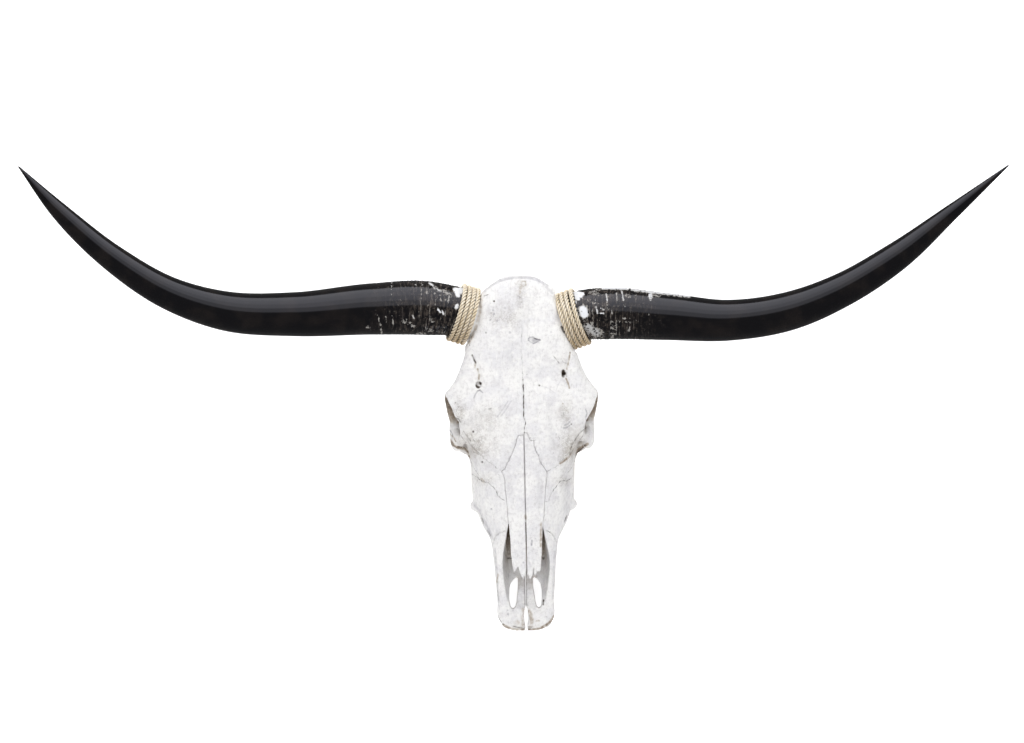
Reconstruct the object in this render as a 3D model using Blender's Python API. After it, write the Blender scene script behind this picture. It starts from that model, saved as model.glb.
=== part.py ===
"""Longhorn steer skull without its lower jaw, life size, lying on a flat floor on its cheek teeth.

The bones are modelled in the skull's own axes, in millimetres: x to the side, y along the face from
the muzzle tip to the poll, and h up from the plane of the forehead. An empty then tilts those axes,
so that the chewing faces of the teeth lie level on the floor.
"""

import math

import bmesh
import bpy
import numpy as np
from mathutils import Matrix, Vector

MM = 0.001
GAP = 0.3  # between neighbouring bones, and between rope and horn
NASAL_GAP = 0.4  # all round and under the nasal bones

# How the skull lies
TILT = math.radians(17.5)  # forehead against the floor
FLOOR_DEPTH = 87.7  # from the forehead plane to the floor, at the muzzle tip

# Horn bases, with their lashings. All four turns lie side by side.
HORN_BASE_RADIUS = 37.2
HORN_BASE_TURN = math.radians(18)  # from straight out to the side, towards the poll
HORN_BASE_RISE = math.radians(8)  # out of the plane of the forehead
ROPE_DIAMETER = 6.9
ROPE_TURNS = 4

# Horn axis through its own points: x, y, h, radius. The two horns are not quite alike.
HORN_SEATS = {"left": (-83.0, 464.8, -38.0), "right": (78.7, 454.8, -38.0)}
HORN_PATHS = {
    "left": [
        (-135, 475, -31, 39.8),
        (-215, 475.5, -22, 38),
        (-330, 470, -9, 32.5),
        (-430, 476.5, 5, 29),
        (-510, 503.5, 17, 24.3),
        (-590, 556, 30, 19.8),
        (-665, 625.5, 43, 13.0),
        (-722.6, 692, 52.7, 0.9),
    ],
    "right": [
        (128, 461.5, -32, 38.1),
        (215, 455, -22, 34.7),
        (305, 447.5, -12, 30.2),
        (395, 459, 0, 28.4),
        (472, 488, 11, 25),
        (550, 534, 24, 21.3),
        (632, 598, 37.5, 11.4),
        (713.5, 663, 51, 0.9),
    ],
}

# Cross-sections of the skull. Each is its y, how far it leans back with depth, and nine landmarks
# (x, h) on one side: middle of the roof, roof, roof edge, upper side, cheek, lower side, lower
# edge, inner edge, middle of the base.
SECTIONS = [
    (-6, 0, "0 -69  9 -69  14 -69.5  17 -70.5  17.5 -71.5  17 -72.5  14 -73.5  9 -74  0 -74"),
    (-2.5, 0, "0 -66  14 -66  22 -66.5  28 -68.5  30 -71  28 -74  22 -76  14 -76.5  0 -76"),
    (6.5, 0, "0 -64  16 -63.5  29 -63.5  35 -66  38 -70  35 -75  29 -78  14 -79  0 -78"),
    (18, 0, "0 -63  17 -62  32 -61  40 -64  42.5 -69  40 -77  30 -81  14 -81  0 -80"),
    (34, 0, "0 -60  17 -59  31 -57  40 -60  42.2 -69  40 -79  30 -84  14 -84  0 -83"),
    (54, 0, "0 -56  18 -54  33 -52  41.5 -56  43.4 -68  41.5 -83  31 -87  15 -87  0 -86"),
    (75, 0, "0 -48  20 -47  34 -44  42.5 -50  44.8 -68  42.5 -88  32 -93  16 -92  0 -91"),
    (105, 0, "0 -36  22 -36  36 -34  44.5 -45  46.8 -70  43.5 -95  33 -100  17 -98  0 -97"),
    (130, 0, "0 -22  24 -23  38 -27  47 -44  51 -72  47.5 -102  37 -107  18 -103  0 -102"),
    (150, 0, "0 -14  25 -17  40 -27  53 -50  61 -80  60 -110  48 -116  24 -110  0 -108"),
    (168, 0, "0 -11  26 -15  43 -27  58 -54  68 -85  64 -117  50 -122  25 -115  0 -113"),
    (184, 0, "0 -10  27 -14  46 -26  61 -54  71 -86  64 -122  49 -127  26 -119  0 -117"),
    (210, 0, "0 -8  31 -11  52 -23  66 -51  73 -86  68 -128  50 -134  27 -126  0 -124"),
    (240, 0, "0 -5  36 -6  60 -16  71 -48  75.5 -86  70 -138  51 -143  28 -135  0 -133"),
    (268, 0, "0 -2  50 -3  74 -12  79 -46  81.5 -90  71 -144  53 -152  29 -143  0 -141"),
    (300, 0, "0 0  62 0  90 -8  88 -50  92 -94  70 -140  54 -158  30 -148  0 -146"),
    (322, 0, "0 1  64 1  103 -9  89 -48  84 -92  50 -120  34 -140  20 -142  0 -140"),
    (345, 0, "0 0  68 0  112 -14  83 -36  54 -70  46 -105  32 -130  16 -136  0 -136"),
    (370, 0, "0 -1  62 -1  96 -15  80 -31  48 -58  48 -100  34 -128  18 -140  0 -142"),
    (400, 0, "0 1  56 0  83 -14  76 -32  50 -56  54 -104  38 -134  20 -150  0 -153"),
    (430, 0.05, "0 2  51 1  73 -12  73 -32  64 -56  72 -108  50 -142  25 -158  0 -162"),
    (458, 0.12, "0 1  46 -1  62 -12  64 -34  64 -60  74 -110  52 -144  27 -162  0 -167"),
    (484, 0.22, "0 0  45 -2  60 -14  62 -36  64 -62  72 -108  50 -142  27 -162  0 -167"),
    (504, 0.33, "0 -3  39 -6  53 -17  56 -36  59 -62  61 -104  45 -136  26 -155  0 -160"),
    (518, 0.37, "0 -8  27 -11  37 -22  41 -42  46 -64  45 -98  35 -122  20 -138  0 -142"),
    (527, 0.40, "0 -16  16 -18  26 -28  30 -46  30 -64  29 -86  22 -104  11 -116  0 -118"),
    (531, 0.41, "0 -26  8 -27  13 -34  15 -46  15 -62  14 -80  10 -94  5 -100  0 -101"),
]

# Orbit: a round rim that faces out, a little forward and a little up
ORBIT_CENTRE = (92.5, 303.0, -55.0)
ORBIT_TURN = math.radians(16)
ORBIT_LEAN = math.radians(11)
ORBIT_RADIUS = 36.0
ORBIT_RIM = 7.5
ORBIT_HOLLOW = (52.0, 33.0, 33.0)

# Nasal bones: outline of the right one seen from above, as x from the seam between them and y. The
# seam lies a little off the middle of the skull.
NASAL_SEAM = 2.2
NASAL_OUTLINE = [
    (0.7, 287.5),
    (9.5, 281),
    (15, 264),
    (22, 251),
    (33, 231),
    (29.5, 206),
    (27, 187),
    (25.7, 150),
    (24, 132),
    (21.5, 110),
    (20.5, 98),
    (17, 82.5),
    (11, 91.5),
    (5.3, 72.5),
    (1.2, 95),
]
NASAL_THICKNESS = 4.5
NASAL_ARCH = [  # y, height of the crest, fall of the roof 30 mm to the side
    (60, -26, 10),
    (100, -18, 8),
    (150, -12, 5.5),
    (200, -8, 4),
    (240, -4.5, 1.5),
    (300, 0.5, 0.3),
]

# The open front of the nose, also off the middle: y, half width of the rim, half width of the floor,
# height of the rim, height of the floor
NOSE_MIDDLE = 1.4
NOSE_TROUGH = [
    (24, 17, 8, -54, -60.5),
    (38, 26.6, 18, -58, -68),
    (54, 30, 25, -58, -73),
    (73, 32.7, 26, -54, -79),
    (100, 33, 27, -44, -86),
    (127, 29.1, 27, -34, -90),
    (151, 25.2, 25, -24, -94),
    (157, 24, 24, -22, -94),
]
NOSE_PASSAGE = [(142, 25, -58), (190, 25, -62), (225, 21, -62), (240, 12, -60)]  # y, radius, h
PALATINE_FISSURE = [
    (14.2, 36),
    (15.8, 30),
    (20, 26),
    (23, 31),
    (24.2, 42),
    (24.2, 54),
    (22.5, 63),
    (18, 69.5),
    (11, 74.5),
    (11.2, 58),
    (13, 46),
]
# Right edge of the cleft between the incisive bones, as x and y, and the slanting line of the suture
# behind them, as y and h
INCISIVE_CLEFT = [
    (2.2, -12),
    (1.4, -2),
    (1.5, 4),
    (2.9, 10),
    (3.2, 16),
    (2.4, 23),
    (GAP / 2, 31),
    (GAP / 2, 150),
]
INCISIVE_SUTURE = ((96.0, -95.0), (142.0, -25.0))

# Cheek teeth: length along the row, width, distance of the crown from the middle
TOOTH_ROW_START = 150.0
TEETH = [(18, 18, 51), (18, 20, 53), (18, 21, 56), (27, 24, 58.5), (28, 24, 60), (29, 23, 60.5)]
TOOTH_GAP = 1.0

VOXEL = 2.4  # of the mesh that blends the bones into one
SHARE_KEPT = 0.028  # of that mesh's faces
BONE = ((0.86, 0.85, 0.82, 1), 0.65)
BARE_HORN = ((0.012, 0.011, 0.010, 1), 0.18)
CORDAGE = ((0.62, 0.49, 0.30, 1), 0.85)


def clear_scene():
    for old in list(bpy.data.objects):
        bpy.data.objects.remove(old)


def material(name, finish):
    colour, roughness = finish
    made = bpy.data.materials.new(name)
    made.use_nodes = True
    shader = made.node_tree.nodes["Principled BSDF"]
    shader.inputs["Base Color"].default_value = colour
    shader.inputs["Roughness"].default_value = roughness
    shader.inputs["Metallic"].default_value = 0.0
    return made


def add_object(name, bm, surface=None, axes=None):
    """Turns the bmesh, in millimetres, into an object in metres, tilted with the skull."""
    bmesh.ops.recalc_face_normals(bm, faces=bm.faces)
    bmesh.ops.scale(bm, vec=(MM, MM, MM), verts=bm.verts)
    mesh = bpy.data.meshes.new(name)
    bm.to_mesh(mesh)
    bm.free()
    mesh.shade_smooth()
    made = bpy.data.objects.new(name, mesh)
    bpy.context.collection.objects.link(made)
    made.parent = axes
    if surface:
        mesh.materials.append(surface)
    else:
        made.hide_render = True
        made.display_type = "WIRE"
    return made


def boolean(target, tool, operation):
    cut = target.modifiers.new(f"{operation.lower()} {tool.name}", "BOOLEAN")
    cut.operation = operation
    cut.object = tool
    return cut


def blend(target, voxel, share):
    """Joins overlapping bodies into one skin, smooths it and thins it to its share of faces."""
    skin = target.modifiers.new("one skin", "REMESH")
    skin.mode = "VOXEL"
    skin.voxel_size = voxel * MM
    skin.use_smooth_shade = True
    soft = target.modifiers.new("soft edges", "SMOOTH")
    soft.factor = 0.5
    soft.iterations = 5
    thin = target.modifiers.new("fewer faces", "DECIMATE")
    thin.ratio = share


def track(keys, values, places):
    """Values at the given places, on a smooth curve through the keyed values."""
    keys = np.asarray(keys, float)
    values = np.asarray(values, float)
    slopes = np.gradient(values, keys, axis=0)
    found = []
    for place in places:
        i = int(np.clip(np.searchsorted(keys, place) - 1, 0, len(keys) - 2))
        step = keys[i + 1] - keys[i]
        t = (place - keys[i]) / step
        start = values[i] * (1 + 2 * t) * (1 - t) ** 2 + slopes[i] * step * t * (1 - t) ** 2
        end = values[i + 1] * t * t * (3 - 2 * t) + slopes[i + 1] * step * t * t * (t - 1)
        found.append(start + end)
    return np.array(found)


def mirrored_ring(half, count):
    """A closed ring of points (x, h), smooth through the landmarks of one side and their mirror."""
    half = np.asarray(half, float)
    other = half[-2:0:-1] * (-1, 1)
    loop = np.vstack([half, other])
    padded = np.vstack([loop[-3:], loop, loop[:3]])
    keys = np.arange(len(padded)) - 3
    return track(keys, padded, np.arange(count) * len(loop) / count)


def landmarks(section):
    numbers = [float(word) for word in section.split()]
    return np.array(numbers).reshape(-1, 2)


def loft(bm, rings):
    """Skins a run of closed rings of 3-D points and caps both ends."""
    rows = [[bm.verts.new(point) for point in ring] for ring in rings]
    count = len(rows[0])
    for near, far in zip(rows, rows[1:]):
        for i in range(count):
            j = (i + 1) % count
            bm.faces.new((near[i], near[j], far[j], far[i]))
    bm.faces.new(rows[0][::-1])
    bm.faces.new(rows[-1])


def skull_rings(around=44, spacing=7.0):
    """Rings of the skull from the muzzle tip to the nape."""
    keys = [section[0] for section in SECTIONS]
    leans = [section[1] for section in SECTIONS]
    halves = np.array([landmarks(section[2]).ravel() for section in SECTIONS])
    places = sorted(set(np.arange(keys[0], keys[-1], spacing)) | set(keys))
    shapes = track(keys, halves, places)
    rings = []
    for place, shape, lean in zip(places, shapes, np.interp(places, keys, leans)):
        ring = mirrored_ring(shape.reshape(-1, 2), around)
        rings.append([(x, place + lean * h, h) for x, h in ring])
    return rings


def ellipsoid(bm, centre, radii, turn=None, segments=20):
    shape = Matrix.Translation(centre) @ (turn or Matrix()) @ Matrix.Diagonal((*radii, 1))
    bmesh.ops.create_uvsphere(
        bm, u_segments=segments, v_segments=segments // 2, radius=1, matrix=shape
    )


def prism(bm, outline, low, high):
    """An upright prism over an outline given as x and y."""
    bottom = [bm.verts.new((x, y, low)) for x, y in outline]
    top = [bm.verts.new((x, y, high)) for x, y in outline]
    for i in range(len(outline)):
        j = (i + 1) % len(outline)
        bm.faces.new((bottom[i], bottom[j], top[j], top[i]))
    bm.faces.new(bottom[::-1])
    bm.faces.new(top)


def block(bm, low, high):
    centre = (Vector(low) + Vector(high)) / 2
    size = Vector(high) - Vector(low)
    shape = Matrix.Translation(centre) @ Matrix.Diagonal((*size, 1))
    bmesh.ops.create_cube(bm, size=1, matrix=shape)


def grown(outline, distance):
    """The outline moved outwards by a distance, corner by corner."""
    points = [Vector(point) for point in outline]
    area = sum(a.cross(b) for a, b in zip(points, points[1:] + points[:1]))
    sign = 1 if area > 0 else -1
    moved = []
    for before, point, after in zip(points[-1:] + points[:-1], points, points[1:] + points[:1]):
        first = (point - before).normalized()
        second = (after - point).normalized()
        out = Vector((first.y + second.y, -first.x - second.x)).normalized() * sign
        sharpness = max(0.4, abs(out.cross(first)))
        moved.append(tuple(point + out * distance / sharpness))
    return moved


def side_of(points, side):
    return [(side * point[0], *point[1:]) for point in points]


def tube(bm, points, sides=12, twist=(0, 0, 1)):
    """A tube with an oval section: each point is x, y, h, width, height."""
    path = [Vector(point[:3]) for point in points]
    rings = []
    for i, point in enumerate(points):
        along = (path[min(i + 1, len(path) - 1)] - path[max(i - 1, 0)]).normalized()
        across = along.cross(Vector(twist)).normalized()
        up = across.cross(along)
        ring = []
        for k in range(sides):
            angle = 2 * math.pi * k / sides
            offset = across * (point[3] * math.cos(angle)) + up * (point[4] * math.sin(angle))
            ring.append(path[i] + offset)
        rings.append(ring)
    loft(bm, rings)


def orbit_turn(side):
    """Axes of an orbit: x out of the hollow, z up along its rim."""
    turn = Matrix.Rotation(-ORBIT_TURN * side, 4, "Z")
    lean = Matrix.Rotation(-ORBIT_LEAN * side, 4, "Y")
    return turn @ lean


def orbit_rim(bm, side):
    centre = Vector((side * ORBIT_CENTRE[0], *ORBIT_CENTRE[1:]))
    turn = orbit_turn(side)
    around, across = 28, 10
    rows = []
    for i in range(around):
        angle = 2 * math.pi * i / around
        spoke = Vector((0, math.cos(angle), math.sin(angle)))
        row = []
        for k in range(across):
            bend = 2 * math.pi * k / across
            reach = ORBIT_RADIUS + ORBIT_RIM * math.cos(bend)
            local = spoke * reach + Vector((ORBIT_RIM * math.sin(bend), 0, 0))
            row.append(bm.verts.new(centre + turn @ local))
        rows.append(row)
    for i in range(around):
        near, far = rows[i], rows[(i + 1) % around]
        for k in range(across):
            j = (k + 1) % across
            bm.faces.new((near[k], near[j], far[j], far[k]))


def zygomatic_arch(bm, side):
    """From the lower rim of the orbit back to the jaw joint, with the bar behind the orbit."""
    arch = [
        (77, 261, -88, 7, 9),
        (88, 268, -88, 9, 10),
        (97, 277, -89, 9.5, 11),
        (99, 290, -91, 9, 12),
        (99, 306, -93, 8.5, 12),
        (98, 325, -97, 7, 11),
        (96, 347, -100, 5.5, 9),
        (89, 370, -104, 4.5, 8),
        (80, 394, -105, 5, 8),
        (68, 414, -107, 8, 9),
    ]
    bar = [(99, 340, -16, 8, 10), (100, 343, -55, 7, 10), (98, 342, -98, 6, 10)]
    tube(bm, side_of(arch, side))
    tube(bm, side_of(bar, side), twist=(1, 0, 0))
    ellipsoid(bm, (side * 64, 414, -110), (20, 15, 11))
    ellipsoid(bm, (side * 98, 331, -90), (7, 11, 11))


def ear_region(bm, side):
    """The bony ear opening, the bulla below it and the long process behind it."""
    tube(bm, side_of([(50, 430, -112, 9, 9), (79, 424, -108, 7, 7)], side))
    ellipsoid(bm, (side * 37, 408, -156), (10, 15, 15))
    process = [
        (54, 446, -122, 21, 14),
        (55, 441, -158, 17, 9),
        (54, 437, -195, 12, 6.5),
        (51, 433, -232, 8, 4.5),
    ]
    tube(bm, side_of(process, side), twist=(1, 0, 0))


def nape(bm, side):
    """Condyle beside the opening for the spinal cord, and half of the ridge down from the poll."""
    lean = Matrix.Rotation(math.radians(-24), 4, "X")
    ellipsoid(bm, (side * 24, 455, -157), (15.5, 18, 23), lean)
    ellipsoid(bm, (side * 22, 438, -170), (10, 16, 12))
    ridge = [(2, 512, -44, 8, 7), (2, 493, -82, 7, 6), (2, 476, -118, 5, 4)]
    tube(bm, side_of(ridge, side), twist=(1, 0, 0))


def palate_and_pterygoid(bm, side):
    """The thin plate beside the rear opening of the nose, and the swelling over the cheek teeth."""
    plate = [
        (25, 282, -138, 5, 16),
        (23, 310, -148, 3, 17),
        (21, 340, -148, 3, 16),
        (22, 366, -138, 4, 8),
    ]
    tube(bm, side_of(plate, side))
    ellipsoid(bm, (side * 65, 180, -88), (15, 10, 10))
    crest = [(66, 181, -88, 9, 10), (70, 212, -90, 7, 8), (72, 243, -92, 6, 9), (78, 262, -92, 7, 9)]
    tube(bm, side_of(crest, side))


def tooth_row(bm, side):
    """Crowns stand square to the floor, so in the skull's axes they lean towards the muzzle."""
    start = TOOTH_ROW_START
    down = Vector((0, -math.sin(TILT), -math.cos(TILT)))
    for length, width, reach in TEETH:
        centre = start + length / 2
        gum = Vector((side * reach, centre, -(FLOOR_DEPTH + centre * math.tan(TILT)) + 42))
        half = (length - TOOTH_GAP) / 2
        rings = []
        for drop, swell in ((0, 0.8), (14, 0.9), (30, 1.0), (46, 0.96)):
            middle = gum + down * drop
            ring = []
            for k in range(12):
                angle = 2 * math.pi * (k + 0.5) / 12
                x = math.copysign(abs(math.cos(angle)) ** 0.55, math.cos(angle))
                y = math.copysign(abs(math.sin(angle)) ** 0.55, math.sin(angle))
                ring.append(middle + Vector((x * width / 2 * swell, y * half * swell, 0)))
            rings.append(ring)
        loft(bm, rings)
        start += length


def horn_axis(side_name):
    side = -1 if side_name == "left" else 1
    flat = Vector((side * math.cos(HORN_BASE_TURN), math.sin(HORN_BASE_TURN), 0))
    return flat * math.cos(HORN_BASE_RISE) + Vector((0, 0, math.sin(HORN_BASE_RISE)))


def horn_core(bm, side_name):
    """The bony stump that carries the horn, up to the middle of the lashing."""
    seat = Vector(HORN_SEATS[side_name])
    axis = horn_axis(side_name)
    inner = seat - axis * 52
    outer = seat - axis * GAP / 2
    radius = HORN_BASE_RADIUS
    points = [(*inner, radius * 0.8, radius * 0.8), (*outer, radius, radius)]
    tube(bm, points, sides=28)


def nose_trough(bm):
    keys = [row[0] for row in NOSE_TROUGH]
    places = np.arange(keys[0], keys[-1] + 1, 7.0)
    rings = []
    for place, row in zip(places, track(keys, [row[1:] for row in NOSE_TROUGH], places)):
        rim, floor, rim_height, floor_height = row
        right = [(0, 30), (rim, 30), (rim, rim_height), (floor, floor_height), (0, floor_height)]
        left = [(-x, h) for x, h in right[3:0:-1]]
        rings.append([(x + NOSE_MIDDLE, place, h) for x, h in right + left])
    loft(bm, rings)


def nasal_slab(bm, above, below):
    """The arched layer that the nasal bones are cut from."""
    keys = [row[0] for row in NASAL_ARCH]
    places = np.linspace(keys[0], keys[-1], 13)
    across = np.linspace(-44, 44, 11)
    rings = []
    for place, (crest, fall) in zip(places, track(keys, [row[1:] for row in NASAL_ARCH], places)):
        roof = [(x, place, crest - fall * (x / 30) ** 2) for x in across]
        top = [(x, y, h + above) for x, y, h in roof]
        under = [(x, y, h - below) for x, y, h in roof[::-1]]
        rings.append(top + under)
    loft(bm, rings)


def nasal_outline(side):
    return [(NASAL_SEAM + side * x, y) for x, y in NASAL_OUTLINE]


def nasal_cutters(axes):
    bm = bmesh.new()
    nasal_slab(bm, 0, NASAL_THICKNESS)
    slab = add_object("cut_nasal_slab", bm, axes=axes)
    bm = bmesh.new()
    nasal_slab(bm, 40, NASAL_THICKNESS + NASAL_GAP)
    deep_slab = add_object("cut_nasal_slab_deep", bm, axes=axes)
    whole = nasal_outline(1) + nasal_outline(-1)[::-1]
    bm = bmesh.new()
    prism(bm, grown(whole, NASAL_GAP), -80, 45)
    recess = add_object("cut_nasal_recess", bm, axes=axes)
    boolean(recess, deep_slab, "INTERSECT")
    return slab, recess


def skull_cutters(axes):
    """Openings cut out of the plain skull before its rims and arches are added."""
    cutters = []
    for side in (-1, 1):
        bm = bmesh.new()
        centre = (side * (ORBIT_CENTRE[0] + 4), *ORBIT_CENTRE[1:])
        ellipsoid(bm, centre, ORBIT_HOLLOW, orbit_turn(side), segments=28)
        cutters.append(add_object(f"cut_orbit_{side}", bm, axes=axes))
        bm = bmesh.new()
        prism(bm, side_of(PALATINE_FISSURE, side), -130, -30)
        cutters.append(add_object(f"cut_fissure_{side}", bm, axes=axes))
        bm = bmesh.new()
        ellipsoid(bm, (side * 29, 497, -82), (21, 15, 34))
        cutters.append(add_object(f"cut_nape_hollow_{side}", bm, axes=axes))
    bm = bmesh.new()
    nose_trough(bm)
    cutters.append(add_object("cut_nose_trough", bm, axes=axes))
    bm = bmesh.new()
    tube(bm, [(0, y, h, radius, radius * 1.5) for y, radius, h in NOSE_PASSAGE], sides=20)
    cutters.append(add_object("cut_nose_passage", bm, axes=axes))
    bm = bmesh.new()
    ellipsoid(bm, (0, 322, -142), (17, 34, 14))
    cutters.append(add_object("cut_rear_nose", bm, axes=axes))
    bm = bmesh.new()
    tube(bm, [(0, 400, -136, 13, 11), (0, 440, -138, 17, 16), (0, 490, -142, 18, 17)], sides=20)
    cutters.append(add_object("cut_spinal_opening", bm, axes=axes))
    return cutters


def suture_block(axes, shift, name):
    """All that lies in front of the slanting suture between incisive bone and upper jaw."""
    (low_y, low_h), (high_y, high_h) = INCISIVE_SUTURE
    slope = (high_y - low_y) / (high_h - low_h)
    outline = []
    for h in (-140.0, 60.0):
        outline.append((low_y + (h - low_h) * slope + shift, h))
    bm = bmesh.new()
    rings = []
    for x in (-90.0, 90.0):
        rings.append([(x, -60, -140), (x, *outline[0]), (x, *outline[1]), (x, -60, 60)])
    loft(bm, rings)
    return add_object(name, bm, axes=axes)


def carved_bmesh(source):
    """The source as its modifiers leave it, in millimetres, ready to be added to."""
    graph = bpy.context.evaluated_depsgraph_get()
    bm = bmesh.new()
    bm.from_object(source, graph)
    bmesh.ops.scale(bm, vec=(1 / MM, 1 / MM, 1 / MM), verts=bm.verts)
    return bm


def rope_seat(side_name, axes):
    """Room round the lashing, so that the bone keeps clear of it."""
    bm = bmesh.new()
    inner = HORN_BASE_RADIUS + GAP / 2
    outer = HORN_BASE_RADIUS + ROPE_DIAMETER + 3 * GAP
    half = ROPE_TURNS * ROPE_DIAMETER / 2 + 2 * GAP
    far = half + 4
    turned_ring(bm, side_name, [(inner, -half), (inner, far), (outer, far), (outer, -half)], 48)
    return add_object(f"cut_rope_seat_{side_name}", bm, axes=axes)


def turned_ring(bm, side_name, profile, segments):
    """A ring turned round the horn's base axis from a profile of radius and place along the axis."""
    seat = Vector(HORN_SEATS[side_name])
    axis = horn_axis(side_name)
    across = axis.cross(Vector((0, 0, 1))).normalized()
    up = across.cross(axis)
    rows = []
    for i in range(segments):
        angle = 2 * math.pi * i / segments
        spoke = across * math.cos(angle) + up * math.sin(angle)
        rows.append([bm.verts.new(seat + spoke * radius + axis * along) for radius, along in profile])
    for i in range(segments):
        near, far = rows[i], rows[(i + 1) % segments]
        for k in range(len(profile)):
            j = (k + 1) % len(profile)
            bm.faces.new((near[k], near[j], far[j], far[k]))


def skull_blank(axes, cutters):
    """All the bones but the nasals as one smooth skin, which is then parted along the sutures."""
    bm = bmesh.new()
    loft(bm, skull_rings())
    plain = add_object("cut_plain_skull", bm, axes=axes)
    for cutter in cutters:
        boolean(plain, cutter, "DIFFERENCE")
    bm = carved_bmesh(plain)
    for side in (-1, 1):
        orbit_rim(bm, side)
        zygomatic_arch(bm, side)
        ear_region(bm, side)
        nape(bm, side)
        palate_and_pterygoid(bm, side)
        tooth_row(bm, side)
    for side_name in HORN_SEATS:
        horn_core(bm, side_name)
    blank = add_object("cut_skull_blank", bm, axes=axes)
    blend(blank, VOXEL, SHARE_KEPT)
    return blank


def make_cranium(axes, bone, blank, recess):
    """Frontals, cheeks, upper jaw with its teeth, and braincase, down to the floor."""
    bm = bmesh.new()
    block(bm, (-150, 70, -260), (150, 560, 60))
    cranium = add_object("cranium", bm, bone, axes)
    boolean(cranium, blank, "INTERSECT")
    boolean(cranium, recess, "DIFFERENCE")
    boolean(cranium, suture_block(axes, GAP / 2, "cut_upper_jaw_front"), "DIFFERENCE")
    for side_name in HORN_SEATS:
        boolean(cranium, rope_seat(side_name, axes), "DIFFERENCE")
    return cranium


def make_incisives(axes, bone, blank, recess):
    """The two bones at the front of the upper jaw, parted down the middle."""
    front = suture_block(axes, -GAP / 2, "cut_incisive_rear")
    for side, name in ((-1, "incisive_left"), (1, "incisive_right")):
        bm = bmesh.new()
        prism(bm, side_of(INCISIVE_CLEFT + [(90, 150), (90, -12)], side), -140, 60)
        incisive = add_object(name, bm, bone, axes)
        boolean(incisive, blank, "INTERSECT")
        boolean(incisive, front, "INTERSECT")
        boolean(incisive, recess, "DIFFERENCE")


def make_nasals(axes, bone, slab):
    for side, name in ((-1, "nasal_left"), (1, "nasal_right")):
        bm = bmesh.new()
        prism(bm, nasal_outline(side), -70, 30)
        nasal = add_object(name, bm, bone, axes)
        boolean(nasal, slab, "INTERSECT")


def make_horn(side_name, axes, horn):
    seat = Vector(HORN_SEATS[side_name])
    axis = horn_axis(side_name)
    radius = HORN_BASE_RADIUS
    start = seat + axis * GAP / 2
    clear = seat + axis * (ROPE_TURNS * ROPE_DIAMETER / 2 + 2)
    points = [(*start, radius), (*clear, radius)] + HORN_PATHS[side_name]
    places = [0.0]
    for before, after in zip(points, points[1:]):
        places.append(places[-1] + (Vector(after[:3]) - Vector(before[:3])).length)
    stops = [place * places[-1] for place in np.linspace(0, 1, 27)]
    stops = sorted(stops + [places[1]])
    shape = track(places, points, stops)
    bm = bmesh.new()
    tube(bm, [(x, y, h, max(r, 0.9), max(r, 0.9)) for x, y, h, r in shape], sides=16)
    return add_object(f"horn_{side_name}", bm, horn, axes)


def make_lashing(side_name, axes, cordage):
    """Four turns of rope as one ribbed collar."""
    segments = 22
    inner = (HORN_BASE_RADIUS + GAP) / math.cos(math.pi / segments)
    radius = ROPE_DIAMETER / 2
    half = ROPE_TURNS * radius
    profile = [(inner, half), (inner, -half)]
    for turn in range(ROPE_TURNS):
        middle = -half + radius * (2 * turn + 1)
        for angle in (-58, 0, 58):
            out = math.radians(angle)
            profile.append((inner + radius + radius * math.cos(out), middle + radius * math.sin(out)))
    bm = bmesh.new()
    turned_ring(bm, side_name, profile, segments)
    return add_object(f"rope_{side_name}", bm, cordage, axes)


def skull_axes():
    """The empty that lays the skull on the floor, with the whole part centred on the origin."""
    axes = bpy.data.objects.new("skull_axes", None)
    bpy.context.collection.objects.link(axes)
    tips = [Vector(path[-1][:3]) for path in HORN_PATHS.values()]
    reach_back = max(tip.y * math.cos(TILT) - tip.z * math.sin(TILT) for tip in tips)
    muzzle = Vector((0, SECTIONS[0][0], landmarks(SECTIONS[0][2])[-1][1]))
    reach_front = muzzle.y * math.cos(TILT) - muzzle.z * math.sin(TILT)
    across = sum(tip.x for tip in tips) / 2
    axes.rotation_euler = (TILT, 0, 0)
    axes.location = (
        -across * MM,
        -(reach_back + reach_front) / 2 * MM,
        FLOOR_DEPTH * math.cos(TILT) * MM,
    )
    return axes


def rest_on_floor(cranium):
    """Cuts the crowns and the processes behind them off level, where they stand on the floor."""
    bm = bmesh.new()
    block(bm, (-900, -900, -200), (900, 900, 0))
    floor = add_object("cut_floor", bm)
    boolean(cranium, floor, "DIFFERENCE")


def main():
    clear_scene()
    bone = material("bleached bone", BONE)
    horn = material("polished horn", BARE_HORN)
    cordage = material("natural rope", CORDAGE)
    axes = skull_axes()
    bpy.context.view_layer.update()
    cutters = skull_cutters(axes)
    slab, recess = nasal_cutters(axes)
    blank = skull_blank(axes, cutters)
    cranium = make_cranium(axes, bone, blank, recess)
    rest_on_floor(cranium)
    make_incisives(axes, bone, blank, recess)
    make_nasals(axes, bone, slab)
    for side_name in HORN_SEATS:
        make_horn(side_name, axes, horn)
        make_lashing(side_name, axes, cordage)


main()
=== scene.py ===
# Longhorn steer skull, life size: sun-bleached bone, polished black horns and rope round their bases.
import math

import bmesh
import bpy
import numpy as np
from mathutils import Matrix, Vector, noise
from mathutils.bvhtree import BVHTree


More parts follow.
